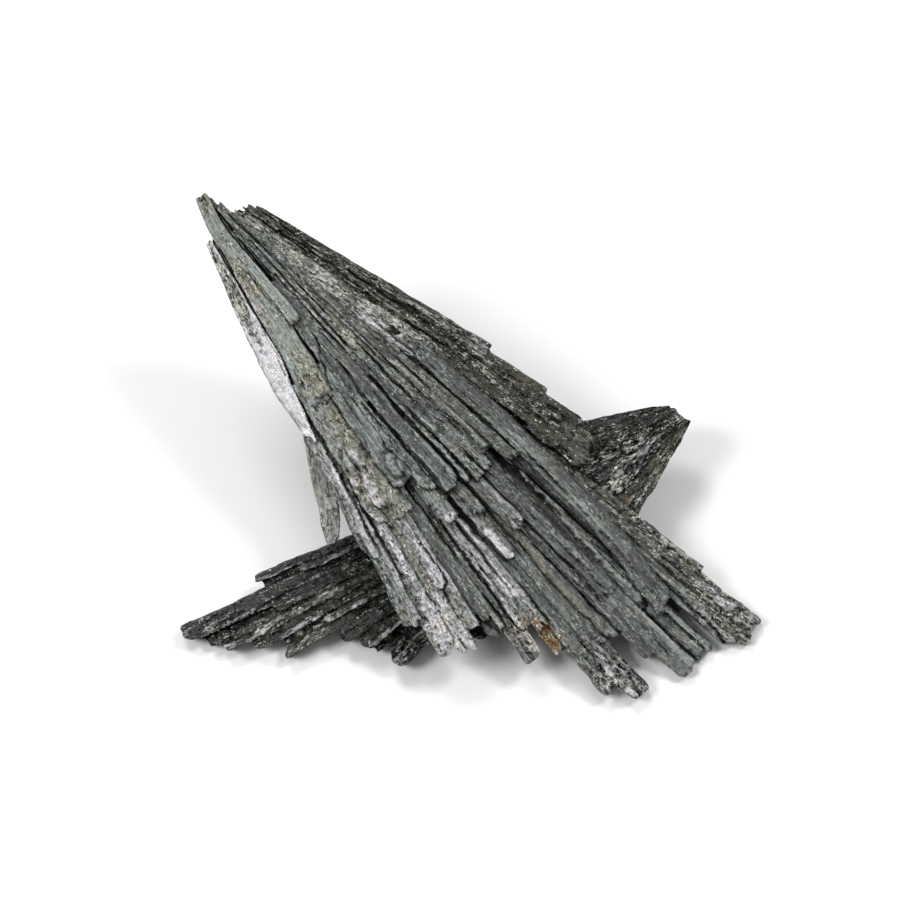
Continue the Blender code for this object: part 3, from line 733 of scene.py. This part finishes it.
        numbers, count = [], 0
        for where, places, *_ in layers:
            number = np.full(where.shape, -1)
            number[where] = count + np.arange(len(places))
            numbers.append(number)
            count += len(places)
        quads = np.concatenate(skin_quads(cell, padded, numbers))
        _, places, grain, finish, relief = zip(*layers)
        crust.add(np.concatenate(places), quads, np.zeros((0, 3), int),
                  np.concatenate(grain), np.concatenate(finish), np.concatenate(relief))


def skin_quads(cell, padded, numbers):
    """Faces over the top and the underside of a skin, and between each two layers all round its rim.

    The cells of stone are given twice, the second time with an empty border."""
    quads = []
    for number, step in ((numbers[0], 1), (numbers[-1], -1)):
        corners = (number[:-1, :-1], number[1:, :-1], number[1:, 1:], number[:-1, 1:])
        quads.append(np.stack([corner[cell] for corner in corners], -1)[:, ::step])
    rows, columns = padded[1:-1], padded[:, 1:-1]
    edges = [(rows[:, 1:] & ~rows[:, :-1], (1, 0), 1), (~rows[:, 1:] & rows[:, :-1], (1, 0), -1),
             (columns[1:] & ~columns[:-1], (0, 1), -1), (~columns[1:] & columns[:-1], (0, 1), 1)]
    for edge, (down, right), step in edges:
        i, j = np.nonzero(edge)
        for upper, lower in zip(numbers[:-1], numbers[1:]):
            k, l = i + down, j + right
            quads.append(np.stack([upper[i, j], lower[i, j], lower[k, l], upper[k, l]], -1)[:, ::step])
    return quads


# ---- Blades built lath by lath, for the inside of the main spray and the keel under it

def wander(rng, at, spacing):
    """An angular drift along a blade, about one either way, with a kink every few millimetres."""
    knots = np.arange(-1.0, at[-1] + 2 * spacing, spacing)
    knots = knots + rng.uniform(-0.3, 0.3, len(knots)) * spacing
    return np.interp(at, knots, rng.uniform(-1, 1, len(knots)))


def lath_top(look, rng, at, steps, spread, width, crown):
    """Heights of a lath's top: grooved, ridged, crowned and broken into steps."""
    columns = len(spread)
    ridge = rng.uniform(-0.6, 0.6)
    fall = rng.uniform(0.0, 0.14) * width * 0.5
    bevel = rng.uniform(0.02, 0.12)
    groove = rng.normal(0, look.groove, columns)
    top = groove - fall * np.abs(spread - ridge) - bevel * (np.abs(spread) > 0.99)
    top = top - crown * width / 2 * spread ** 2
    top = top[None, :] * (1 + 0.4 * wander(rng, at, 5.0)[:, None])
    column = np.arange(columns)
    for where in steps:
        low = rng.integers(0, columns)
        high = low + rng.integers(1, columns)
        before = (at <= where)[:, None] * (column >= low) * (column < high)
        climb = np.clip(1 - (where - at) / rng.uniform(3, 12), 0, 1)[:, None]
        top = top + before * climb * rng.uniform(0.3, 1.7) * look.step
    return top + rng.normal(0, look.skin, top.shape)


def tube_faces(index):
    """Quads between a lath's rings, and triangles from its end rings to the two points that follow them."""
    a, b = index[:-1], index[1:]
    quads = np.stack([a, b, np.roll(b, -1, 1), np.roll(a, -1, 1)], -1).reshape(-1, 4)
    first, last, count = index[0], index[-1], index.size
    tris = np.concatenate([
        np.stack([first, np.roll(first, -1), np.full(len(first), count)], -1),
        np.stack([np.roll(last, -1), last, np.full(len(last), count + 1)], -1),
    ])
    return quads, tris


def lath_looks(look, rng, ring_x, ring_z, ring_at, columns):
    """Grain, finish and relief of a lath's rings and of the two points that close its ends."""
    hops = np.hypot(np.diff(ring_x, axis=1), np.diff(ring_z, axis=1)).mean(0)
    grain = np.empty(ring_x.shape + (3,))
    grain[..., 0] = np.concatenate([[0], np.cumsum(hops)]) + rng.uniform(0, LATH_SPREAD)
    grain[..., 1] = ring_at + rng.uniform(0, LATH_SPREAD)
    grain[..., 2] = look.tone + rng.normal(0, 0.3)
    grain = grain.reshape(-1, 3)
    silver = np.clip(look.silver + rng.normal(0, 0.15), 0, 1)
    dust = np.clip(look.dust + rng.normal(0, 0.12), 0, 1)
    # Painted shade: the underside is drawn fully shaded, the top's two edge columns a quarter and the end
    # points half.
    painted_shade = np.zeros(ring_x.shape)
    painted_shade[:, columns:] = 1.0
    painted_shade[:, [0, columns - 1]] = 0.25
    painted_shade = np.concatenate([painted_shade.ravel(), [0.5, 0.5]])
    relief = np.stack([painted_shade, np.full(len(painted_shade), look.speckle), 0 * painted_shade], -1)
    return np.concatenate([grain, grain[[0, -1]]]), np.tile((silver, dust, 0.0), (len(painted_shade), 1)), relief


def lath(crust, ends, up, widths, depth, lean, look, rng, fine, tip, crown=0.0):
    """A closed lath between two ends: a grooved top in steps, two sides, an underside and a broken tip."""
    length, width = np.linalg.norm(ends[1] - ends[0]), max(widths)
    columns = int(np.clip(round(width / fine), *TOP_STRIPS)) + 1
    tip = min(tip, length * 0.3)
    steps = np.sort(rng.uniform(0.03, 0.97, max(1, int(length / look.gap)))) * length
    near_tip = length - np.array(TIP_RINGS) * tip
    at = np.concatenate([np.arange(0, length - 0.3, RING_PITCH), steps, steps + 0.05, near_tip, [length]])
    at = np.unique(np.clip(at, 0, length))
    along = (ends[1] - ends[0]) / length
    across = unit(np.cross(up, along))
    over, turn = np.cross(along, across), math.radians(lean)
    across, over = (across * math.cos(turn) + over * math.sin(turn),
                    over * math.cos(turn) - across * math.sin(turn))
    wide = (widths[0] + (widths[1] - widths[0]) * at / length) * (1 + 0.10 * wander(rng, at, 4.0))
    spread = np.linspace(-1, 1, columns)
    spread[1:-1] += rng.uniform(-0.5, 0.5, columns - 2) / columns

    top = lath_top(look, rng, at, steps, spread, width, crown)
    end = np.clip((length - at) / tip, 0, 1)
    start = np.clip(at / min(0.5, length * 0.2), 0, 1)
    taper = (0.55 + 0.45 * np.sqrt(end * (2 - end))) * (0.40 + 0.60 * np.sqrt(start * (2 - start)))
    half, taper = (wide * taper / 2)[:, None], taper[:, None]
    x = spread[None, :] * half + 0.07 * wander(rng, at, 3.0)[:, None]
    x += rng.normal(0, 0.02, x.shape)
    terrace = np.repeat(rng.uniform(0, 1, 4), math.ceil(columns / 4))[:columns] + rng.uniform(0, 0.3, columns)
    back = terrace[None, :] * (1 - end)[:, None] * min(2.2 * tip, length * 0.3)
    under_z = -depth * np.array(UNDER_DEEP) * taper ** 0.7 - (1 - taper) * depth * 0.2
    ring_x = np.concatenate([x, np.array(UNDER_ACROSS) * half], axis=1)
    ring_z = np.concatenate([top * taper - (1 - taper) * depth * 0.5, under_z], axis=1)
    ring_back = np.concatenate([back, np.repeat(back[:, -1:], 2, 1), np.repeat(back[:, :1], 2, 1)], axis=1)
    ring_at = at[:, None] - ring_back
    points = ends[0] + ring_at[..., None] * along + ring_x[..., None] * across + ring_z[..., None] * over
    centres = np.stack([points[0].mean(0), points[-1].mean(0)])
    points = np.concatenate([points.reshape(-1, 3), centres])
    faces = tube_faces(np.arange(ring_x.size).reshape(ring_x.shape))
    crust.add(points, *faces, *lath_looks(look, rng, ring_x, ring_z, ring_at, columns))


def bundle(crust, spray, row, rng, side):
    """A blade with the thinner laths that it has split into, on its upper side (1) or its underside (-1)."""
    angle_0, from_0, angle_1, to_1, width, depth, rise_0, rise_1, lean, finish = row
    ends = spray.places(*np.array(((angle_0, angle_1), (from_0, to_1), (rise_0, rise_1))))
    widths = np.array((max(THIN_END, width * from_0 / to_1), width))
    look, up = FINISHES[finish], spray.normal * side
    if side < 0:
        ends = ends + up * (depth - look.proud)
    lath(crust, ends - up * look.proud * 0.6, up, widths * 0.95, depth, lean * 0.6, look, rng,
         fine=0.6, tip=0.9, crown=look.crown)
    run = ends[1] - ends[0]
    across = unit(np.cross(up, run))
    count = max(1, round(look.laths * width))
    for i in range(count):
        begin = 0.0 if rng.random() < 0.4 else rng.uniform(0.05, 0.6)
        stop = 1.0 - abs(rng.normal(0, 0.05)) - (0.3 * rng.random() if rng.random() < 0.4 else 0.0)
        if stop - begin < 0.12:
            continue
        beside = (i + 0.5 + rng.uniform(-0.25, 0.25)) / count - 0.5
        shares = np.array((begin, stop))
        wide = widths[0] + (widths[1] - widths[0]) * shares
        lift = np.array((rng.uniform(-0.4, 0.6), rng.uniform(-0.3, 1.0))) * look.proud
        lift = lift - look.crown * wide / 2 * (2 * beside) ** 2
        middle = ends[0] + run * shares[:, None] + across * (beside * wide)[:, None] + up * lift[:, None]
        slope = math.degrees(math.atan(4 * look.crown * beside))
        lath_widths = [end_width / count * rng.uniform(0.8, 1.2) for end_width in wide]
        lath_depth = rng.uniform(0.9, 1.4)
        lath(crust, middle, up, lath_widths, lath_depth, lean - slope + rng.normal(0, look.lean), look, rng,
             fine=0.5, tip=rng.uniform(0.2, 0.8))


# ---- The pieces

def finished(rows, finish):
    """Rows of upright blades that all have one finish."""
    return [(*row, 0, finish) for row in rows]


def piece_of(name, crust, material):
    piece = bpy.data.objects.new(name, crust.mesh(name))
    bpy.context.scene.collection.objects.link(piece)
    piece.data.materials.append(material)
    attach(piece, "root")
    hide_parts(NODE)


def build_keel(spray, material):
    """The blades inside the main spray, and under them those of its keel, all built as separate laths."""
    rng, crust = np.random.default_rng(KEEL_SEED), Crust()
    for row in finished(MAIN_CORE, "dark"):
        bundle(crust, spray, row, rng, 1)
    for row in finished(KEEL, "keel"):
        bundle(crust, spray, row, rng, -1)
    piece_of("keel", crust, material)


def build_skin(name, spray, material, rows, cracks, patches, angles, distances, grid, seed):
    """A group of blades grown together under one craggy skin."""
    relief = Relief(spray, angles, distances, grid, np.random.default_rng(seed))
    for row in rows:
        relief.lay(row)
    relief.part_blades()
    for crack in cracks:
        relief.crack(*crack)
    for piece, *cluster in KNOBS:
        if piece == name:
            relief.knobs(*cluster)
    for spot in patches:
        relief.patch(*spot)
    relief.weather()
    relief.find_sunk()
    crust = Crust()
    relief.into(crust)
    piece_of(name, crust, material)


# The groups of blades of each spray: the piece's name, its stone, its blades and cracks, the angles (degrees)
# and distances (mm) that its skin spans, its grid (degrees, mm) and its seed.
MAIN_GROUPS = [
    ("left_ridge", "grey", LEFT_RIDGE, LEFT_CRACKS, (-21, 4), (9, 79), (0.14, 0.17), 11),
    ("centre_blades", "grey", CENTRE_BLADES, CENTRE_CRACKS, (-11, 7), (13, 83), (0.12, 0.17), 12),
    ("light_band", "grey", LIGHT_BAND, [], (-1, 12), (15, 89), (0.13, 0.18), 17),
    ("left_broom", "grey", LEFT_BROOM, BROOM_CRACKS, (-14.5, -1), (45, 95), (0.10, 0.17), 13),
    ("right_broom", "grey", RIGHT_BROOM, BROOM_CRACKS, (-6, 9.5), (45, 98), (0.10, 0.17), 19),
    ("far_flank", "dark", FAR_FLANK, FLANK_CRACKS, (-2, 24), (13, 70), (0.17, 0.17), 14),
    ("splinter", "grey", SPLINTER, [], (-23, -12), (29, 59), (0.15, 0.2), 18),
]
RIGHT_WING = finished(CROSS_BLADES + CROSS_CORE, "slate")
LEFT_WING = finished(CROSS_BLADES, "coal") + finished(CROSS_CORE, "dark")
CROSS_GROUPS = [
    ("right_wing", "dark", RIGHT_WING, [], (-38, 50), (2.5, 27), (0.7, 0.17), 16),
    ("left_wing", "dark", LEFT_WING, [], (-14, 34), (25, 72), (0.18, 0.19), 20),
]


def build_specimen():
    main_spray, cross_spray = Spray(**MAIN_SPRAY), Spray(**CROSS_SPRAY)
    stones = {
        "grey": kyanite("splintered_kyanite", 0.36, 0.5, ("#151918", "#464c4a", "#969d99"), "#80785f"),
        "dark": kyanite("dark_kyanite", 0.28, 0.3, ("#131410", "#252822", "#7b7e74"), "#5e5a44"),
    }
    for name, stone, rows, cracks, *extent in MAIN_GROUPS:
        build_skin(name, main_spray, stones[stone], rows, cracks, MAIN_PATCHES, *extent)
    build_keel(main_spray, stones["dark"])
    for name, stone, rows, cracks, *extent in CROSS_GROUPS:
        build_skin(name, cross_spray, stones[stone], rows, cracks, CROSS_PATCHES, *extent)


# ---- Kyanite: a glassy silicate clouded by graphite, left as it was broken out of the rock. It cleaves along
# ---- its blades, so that the eye gets streaks, dull or flashing flecks, and here and there a silvery skin.

KYANITE_IOR = 1.72
FLECK = (0.15, 0.55)  # a cleavage fleck across and along its blade, mm
FLECK_BEND = 0.3  # how far the outline of a fleck is bent, and by swells of what length, mm
RUST = "#785a2c"
# Silvery skin: partly metallic, and its pale colour is partly a painted sheen.
SILVER_SHEEN = "#d2d0d4"
# Painted glints: single specks drawn near white, as highlights.
PAINTED_GLINT = "#e2e0d6"
CASTS = ((0.36, "#f5faf9"), (0.50, "#fafbf9"), (0.62, "#fbf4e4"))
HUES = ((0.0, "#8f9a99"), (0.2, "#a2a4a1"), (0.38, "#6c6e6d"), (0.52, "#a89e88"), (0.64, "#8fa0a4"),
        (0.74, "#989078"), (0.83, "#8a8290"), (0.90, "#f0ece0"))

# Patterns that run with the blades: their size across and along them in mm, detail, roughness, distortion.
# Real growth lines are finer than 0.05 mm, so the striation is drawn as coarse as it must be to show.
FIBRES = {
    "streak": (0.22, 4.0, 4.0, 0.65, 0.0),
    "striation": (0.11, 6.0, 2.0, 0.5, 0.0),
    "crinkle": (0.30, 0.8, 2.0, 0.5, 1.0),
}
# Patterns that lie over the whole stone: their size in mm, detail, roughness and distortion. Real grit is as
# fine as flour, so it is drawn coarser too.
CLOUDS = {
    "mottle": (0.6, 5.0, 0.75, 0.0),
    "grit": (0.18, 2.0, 0.6, 0.0),
    "blotch": (4.0, 5.0, 0.7, 0.0),
    "cluster": (2.2, 3.0, 0.6, 0.0),
    "cast": (3.0, 4.0, 0.7, 0.5),
}


def colour(hex_code):
    channels = [int(hex_code[i:i + 2], 16) / 255 for i in (1, 3, 5)]
    linear = [c / 12.92 if c <= 0.04045 else ((c + 0.055) / 1.055) ** 2.4 for c in channels]
    return (*linear, 1.0)


def add(tree, kind, settings=None, **links):
    """Adds a shader node, sets its properties and inputs, and links sockets into its inputs."""
    node = tree.nodes.new("ShaderNode" + kind)
    for name, value in (settings or {}).items():
        if isinstance(name, int) or name in node.inputs and not hasattr(node, name):
            node.inputs[name].default_value = value
        else:
            setattr(node, name, value)
    for name, socket in links.items():
        key = int(name[1:]) if name[0] == "_" else name.replace("_", " ")
        tree.links.new(socket, node.inputs[key])
    return node


def fill_ramp(ramp, stops):
    """Gives a colour ramp its stops, each a position and a colour."""
    elements = ramp.color_ramp.elements
    elements.remove(elements[1])
    elements[0].position, elements[0].color = stops[0][0], colour(stops[0][1])
    for position, tint in stops[1:]:
        elements.new(position).color = colour(tint)


def draw_patterns(tree, grain):
    """The patterns of the stone by name: those along its blades, and those over the whole of it."""
    drawn = {}
    for name, (across, along, detail, roughness, distortion) in FIBRES.items():
        stretched = add(tree, "Mapping", {"Scale": (1 / across, 1 / along, 1.0)}, Vector=grain)
        settings = {"Scale": 1.0, "Detail": detail, "Roughness": roughness, "Distortion": distortion}
        drawn[name] = add(tree, "TexNoise", settings, Vector=stretched.outputs[0]).outputs["Fac"]
    place = add(tree, "TexCoord").outputs["Object"]
    for name, (size, detail, roughness, distortion) in CLOUDS.items():
        scale = 1 / (size * MM)
        settings = {"Scale": scale, "Detail": detail, "Roughness": roughness, "Distortion": distortion}
        drawn[name] = add(tree, "TexNoise", settings, Vector=place).outputs["Fac"]
    bend = add(tree, "TexNoise", {"Scale": 1 / (FLECK_BEND * MM), "Detail": 1.0}, Vector=place)
    drawn["bend"] = bend.outputs["Color"]
    return SimpleNamespace(**drawn)


def cleave(tree, drawn, grain):
    """Splinter-shaped flecks, each with a random colour of its own: faces where the crystal has cleaved."""
    bend = add(tree, "VectorMath", {"operation": "SCALE", "Scale": FLECK_BEND}, _0=drawn.bend)
    bent = add(tree, "VectorMath", {"operation": "ADD"}, _0=grain, _1=bend.outputs[0]).outputs[0]
    across, along = FLECK
    splinter = add(tree, "Mapping", {"Scale": (1 / across, 1 / along, 1.0)}, Vector=bent).outputs[0]
    return add(tree, "TexVoronoi", {"Scale": 1.0}, Vector=splinter).outputs["Color"]


def stone_colour(tree, drawn, flecks, speckle, tone, painted_shade, shades):
    """Streaks and mottling about each lath's own tone, with painted shade that darkens hollows and
    undersides, a painted highlight that lightens proud edges, and flecks that differ in hue.
    """
    fleck_level, fleck_hue, _ = flecks
    flecked = add(tree, "Math", {"operation": "SUBTRACT", 1: 0.5}, _0=fleck_level).outputs[0]
    flecked = add(tree, "Math", {"operation": "MULTIPLY"}, _0=flecked, _1=speckle).outputs[0]
    # Painted highlight: proud spots are drawn lighter. Below, sunk spots and undersides are drawn darker as
    # painted shade.
    wear_and_highlight = add(tree, "MapRange", {"From Min": -0.2, "From Max": -1.0}, Value=painted_shade).outputs[0]
    level = drawn.mottle
    for part, share in ((drawn.streak, 1.2), (tone, 0.18), (drawn.blotch, 0.5), (flecked, 0.75),
                        (drawn.grit, 0.5), (drawn.striation, 0.45), (painted_shade, -0.38), (wear_and_highlight, 0.3)):
        level = add(tree, "Math", {"operation": "MULTIPLY_ADD", 1: share}, _0=part, _2=level).outputs[0]
    level = add(tree, "MapRange", {"From Min": 1.45, "From Max": 2.17}, Value=level).outputs[0]
    shade = add(tree, "ValToRGB", Fac=level)
    fill_ramp(shade, tuple(zip((0.05, 0.5, 1.0), shades)))

    hue = add(tree, "ValToRGB", Fac=fleck_hue)
    hue.color_ramp.interpolation = "CONSTANT"
    fill_ramp(hue, HUES)
    hue_share = add(tree, "Math", {"operation": "MULTIPLY", 1: 0.9}, _0=speckle).outputs[0]
    shown = add(tree, "Mix", {"data_type": "RGBA", "blend_type": "OVERLAY"},
                _0=hue_share, _6=shade.outputs["Color"], _7=hue.outputs["Color"]).outputs[2]
    cast = add(tree, "ValToRGB", Fac=drawn.cast)
    fill_ramp(cast, CASTS)
    return add(tree, "Mix", {"data_type": "RGBA", "blend_type": "MULTIPLY", "Factor": 1.0},
               _6=shown, _7=cast.outputs["Color"]).outputs[2]


def cleavage_normal(tree, drawn, fleck, sparkle, silver_sheen_mask):
    """Each fleck is a face of its own, turned a little from the rest, under streaks and crumpled silver."""
    turned = add(tree, "VectorMath", {"operation": "SUBTRACT", 1: (0.5, 0.5, 0.5)}, _0=fleck).outputs[0]
    turn_by = add(tree, "MapRange", {"From Max": 1.5, "To Min": 0.04, "To Max": 0.9}, Value=sparkle)
    turned = add(tree, "VectorMath", {"operation": "SCALE"}, _0=turned, Scale=turn_by.outputs[0])
    normal = add(tree, "NewGeometry").outputs["Normal"]
    normal = add(tree, "VectorMath", {"operation": "ADD"}, _0=normal, _1=turned.outputs[0]).outputs[0]
    normal = add(tree, "VectorMath", {"operation": "NORMALIZE"}, _0=normal).outputs[0]
    crumpled = add(tree, "Math", {"operation": "MULTIPLY"}, _0=drawn.crinkle, _1=silver_sheen_mask)
    for height, strength, depth in ((drawn.streak, 0.8, 0.10), (drawn.striation, 0.8, 0.05),
                                    (drawn.mottle, 1.0, 0.12), (crumpled.outputs[0], 1.0, 0.25)):
        settings = {"Strength": strength, "Distance": depth * MM}
        normal = add(tree, "Bump", settings, Height=height, Normal=normal).outputs[0]
    return normal


def kyanite(name, rough, sheen, shades, dust):
    """The stone with what covers it: dull dust, rust stains, silvery skins whose pale colour is partly a
    painted sheen, and single painted glints.
    """
    material = bpy.data.materials.new(name)
    material.use_nodes = True
    tree = material.node_tree
    shader = tree.nodes["Principled BSDF"]
    shader.inputs["IOR"].default_value = KYANITE_IOR
    shader.inputs["Specular IOR Level"].default_value = sheen
    grain, finish, relief = (add(tree, "Attribute", {"attribute_name": label}).outputs["Vector"]
                             for label in LOOKS)
    tone = add(tree, "SeparateXYZ", Vector=grain).outputs["Z"]
    silver, dustiness, rust = add(tree, "SeparateXYZ", Vector=finish).outputs
    painted_shade, speckled, _ = add(tree, "SeparateXYZ", Vector=relief).outputs

    drawn = draw_patterns(tree, grain)
    fleck = cleave(tree, drawn, grain)
    flecks = add(tree, "SeparateColor", Color=fleck).outputs
    bunched = add(tree, "MapRange", {"From Min": 0.36, "From Max": 0.62, "To Min": 0.4, "To Max": 1.4},
                  Value=drawn.cluster).outputs[0]
    sparkle = add(tree, "Math", {"operation": "MULTIPLY"}, _0=speckled, _1=bunched).outputs[0]
    speckle = add(tree, "Math", {"operation": "MINIMUM", 1: 1.0}, _0=sparkle).outputs[0]
    shown = stone_colour(tree, drawn, flecks, speckle, tone, painted_shade, shades)

    # What lies over the stone: how much of it, what else brings it out, from what sum to what sum it
    # thickens, how much it hides and its colour. The silver is a real skin whose pale colour is partly a
    # painted sheen;
    # the glint is a painted highlight.
    coverings = {
        "dust": (dustiness, ((drawn.blotch, 1.0), (drawn.mottle, 0.5)), 1.05, 1.50, 0.5, dust),
        "rust": (rust, ((drawn.mottle, 0.8), (drawn.blotch, 0.5)), 0.95, 1.50, 0.9, RUST),
        "silver": (silver, ((drawn.streak, 0.9), (drawn.mottle, 0.6), (drawn.cast, 0.7), (painted_shade, -0.6)),
                   1.42, 1.90, 1.0, SILVER_SHEEN),
        "painted_glint": (drawn.grit, ((flecks["Red"], 0.35), (sparkle, 0.25)), 1.05, 1.15, 1.0, PAINTED_GLINT),
    }
    masks = {}
    for cover, (amount, parts, none_at, full_at, most, tint) in coverings.items():
        for part, share in parts:
            settings = {"operation": "MULTIPLY_ADD", 1: share}
            amount = add(tree, "Math", settings, _0=part, _2=amount).outputs[0]
        settings = {"From Min": none_at, "From Max": full_at, "To Max": most}
        masks[cover] = add(tree, "MapRange", settings, Value=amount).outputs[0]
        settings = {"data_type": "RGBA", 7: colour(tint)}
        shown = add(tree, "Mix", settings, _0=masks[cover], _6=shown).outputs[2]

    metal = add(tree, "Math", {"operation": "MULTIPLY", 1: 0.6}, _0=masks["silver"]).outputs[0]
    gloss = add(tree, "MapRange", {"To Min": rough - 0.2, "To Max": rough + 0.25}, Value=flecks["Blue"])
    gloss = add(tree, "Math", {"operation": "MULTIPLY_ADD", 1: 0.4}, _0=masks["dust"], _2=gloss.outputs[0])
    tree.links.new(shown, shader.inputs["Base Color"])
    tree.links.new(metal, shader.inputs["Metallic"])
    tree.links.new(gloss.outputs[0], shader.inputs["Roughness"])
    tree.links.new(cleavage_normal(tree, drawn, fleck, sparkle, masks["silver"]), shader.inputs["Normal"])
    return material


# ---- The stage, in metres and degrees unless a line says otherwise

PAPER = "#f3f3f3"
PAPER_ROUGHNESS = 0.9
PAPER_WIDTH = 3.0
PAPER_DROP = 0.05 * MM  # how far it lies below the ground
LAMP_DISTANCE = 0.9
LAMPS = {  # heading, height, width and power in watts
    "key": (205, 42, 0.35, 5.0),
    "right": (16, 56, 0.24, 2.8),
    "back": (120, 52, 0.34, 2.8),
}
ROOM_LIGHT = 0.36  # strength of the light from all round
CAMERA_PLACE = (-0.0024, -0.1678, 0.2114)
CAMERA_TILT = 40
LENS, SENSOR = 85, 36  # mm


def lay_paper():
    """A wide sheet of white paper, a hair below the ground: matt, so it takes soft shadows and no gloss."""
    bpy.ops.mesh.primitive_plane_add(size=PAPER_WIDTH, location=(0, 0, -PAPER_DROP))
    floor = bpy.context.object
    floor.name = "floor"
    paper = bpy.data.materials.new("white_paper")
    paper.use_nodes = True
    inputs = paper.node_tree.nodes["Principled BSDF"].inputs
    inputs["Base Color"].default_value = colour(PAPER)
    inputs["Roughness"].default_value = PAPER_ROUGHNESS
    inputs["Specular IOR Level"].default_value = 0.0
    floor.data.materials.append(paper)


def aim_lamp(name, azimuth, elevation, size, watts):
    """A soft square lamp that looks at the specimen from a heading and height."""
    data = bpy.data.lights.new(name, "AREA")
    data.shape, data.size, data.energy = "SQUARE", size, watts
    lamp = bpy.data.objects.new(name, data)
    turn, lift = math.radians(azimuth), math.radians(elevation)
    way = Vector((math.cos(turn) * math.cos(lift), math.sin(turn) * math.cos(lift), math.sin(lift)))
    lamp.location = way * LAMP_DISTANCE
    lamp.rotation_euler = way.to_track_quat("Z", "Y").to_euler()
    bpy.context.scene.collection.objects.link(lamp)


def light_room():
    """An even white light from all round, and colours shown as they are."""
    world = bpy.data.worlds.new("studio")
    bpy.context.scene.world = world
    world.use_nodes = True
    background = world.node_tree.nodes["Background"]
    background.inputs["Color"].default_value = (1, 1, 1, 1)
    background.inputs["Strength"].default_value = ROOM_LIGHT
    bpy.context.scene.view_settings.view_transform = "Standard"


def place_camera():
    data = bpy.data.cameras.new("camera")
    data.lens, data.sensor_width = LENS, SENSOR
    camera = bpy.data.objects.new("camera", data)
    camera.location = CAMERA_PLACE
    camera.rotation_euler = (math.radians(CAMERA_TILT), 0, 0)
    bpy.context.scene.collection.objects.link(camera)
    bpy.context.scene.camera = camera


build_specimen()
lay_paper()
for lamp_name, lamp_values in LAMPS.items():
    aim_lamp(lamp_name, *lamp_values)
light_room()
place_camera()
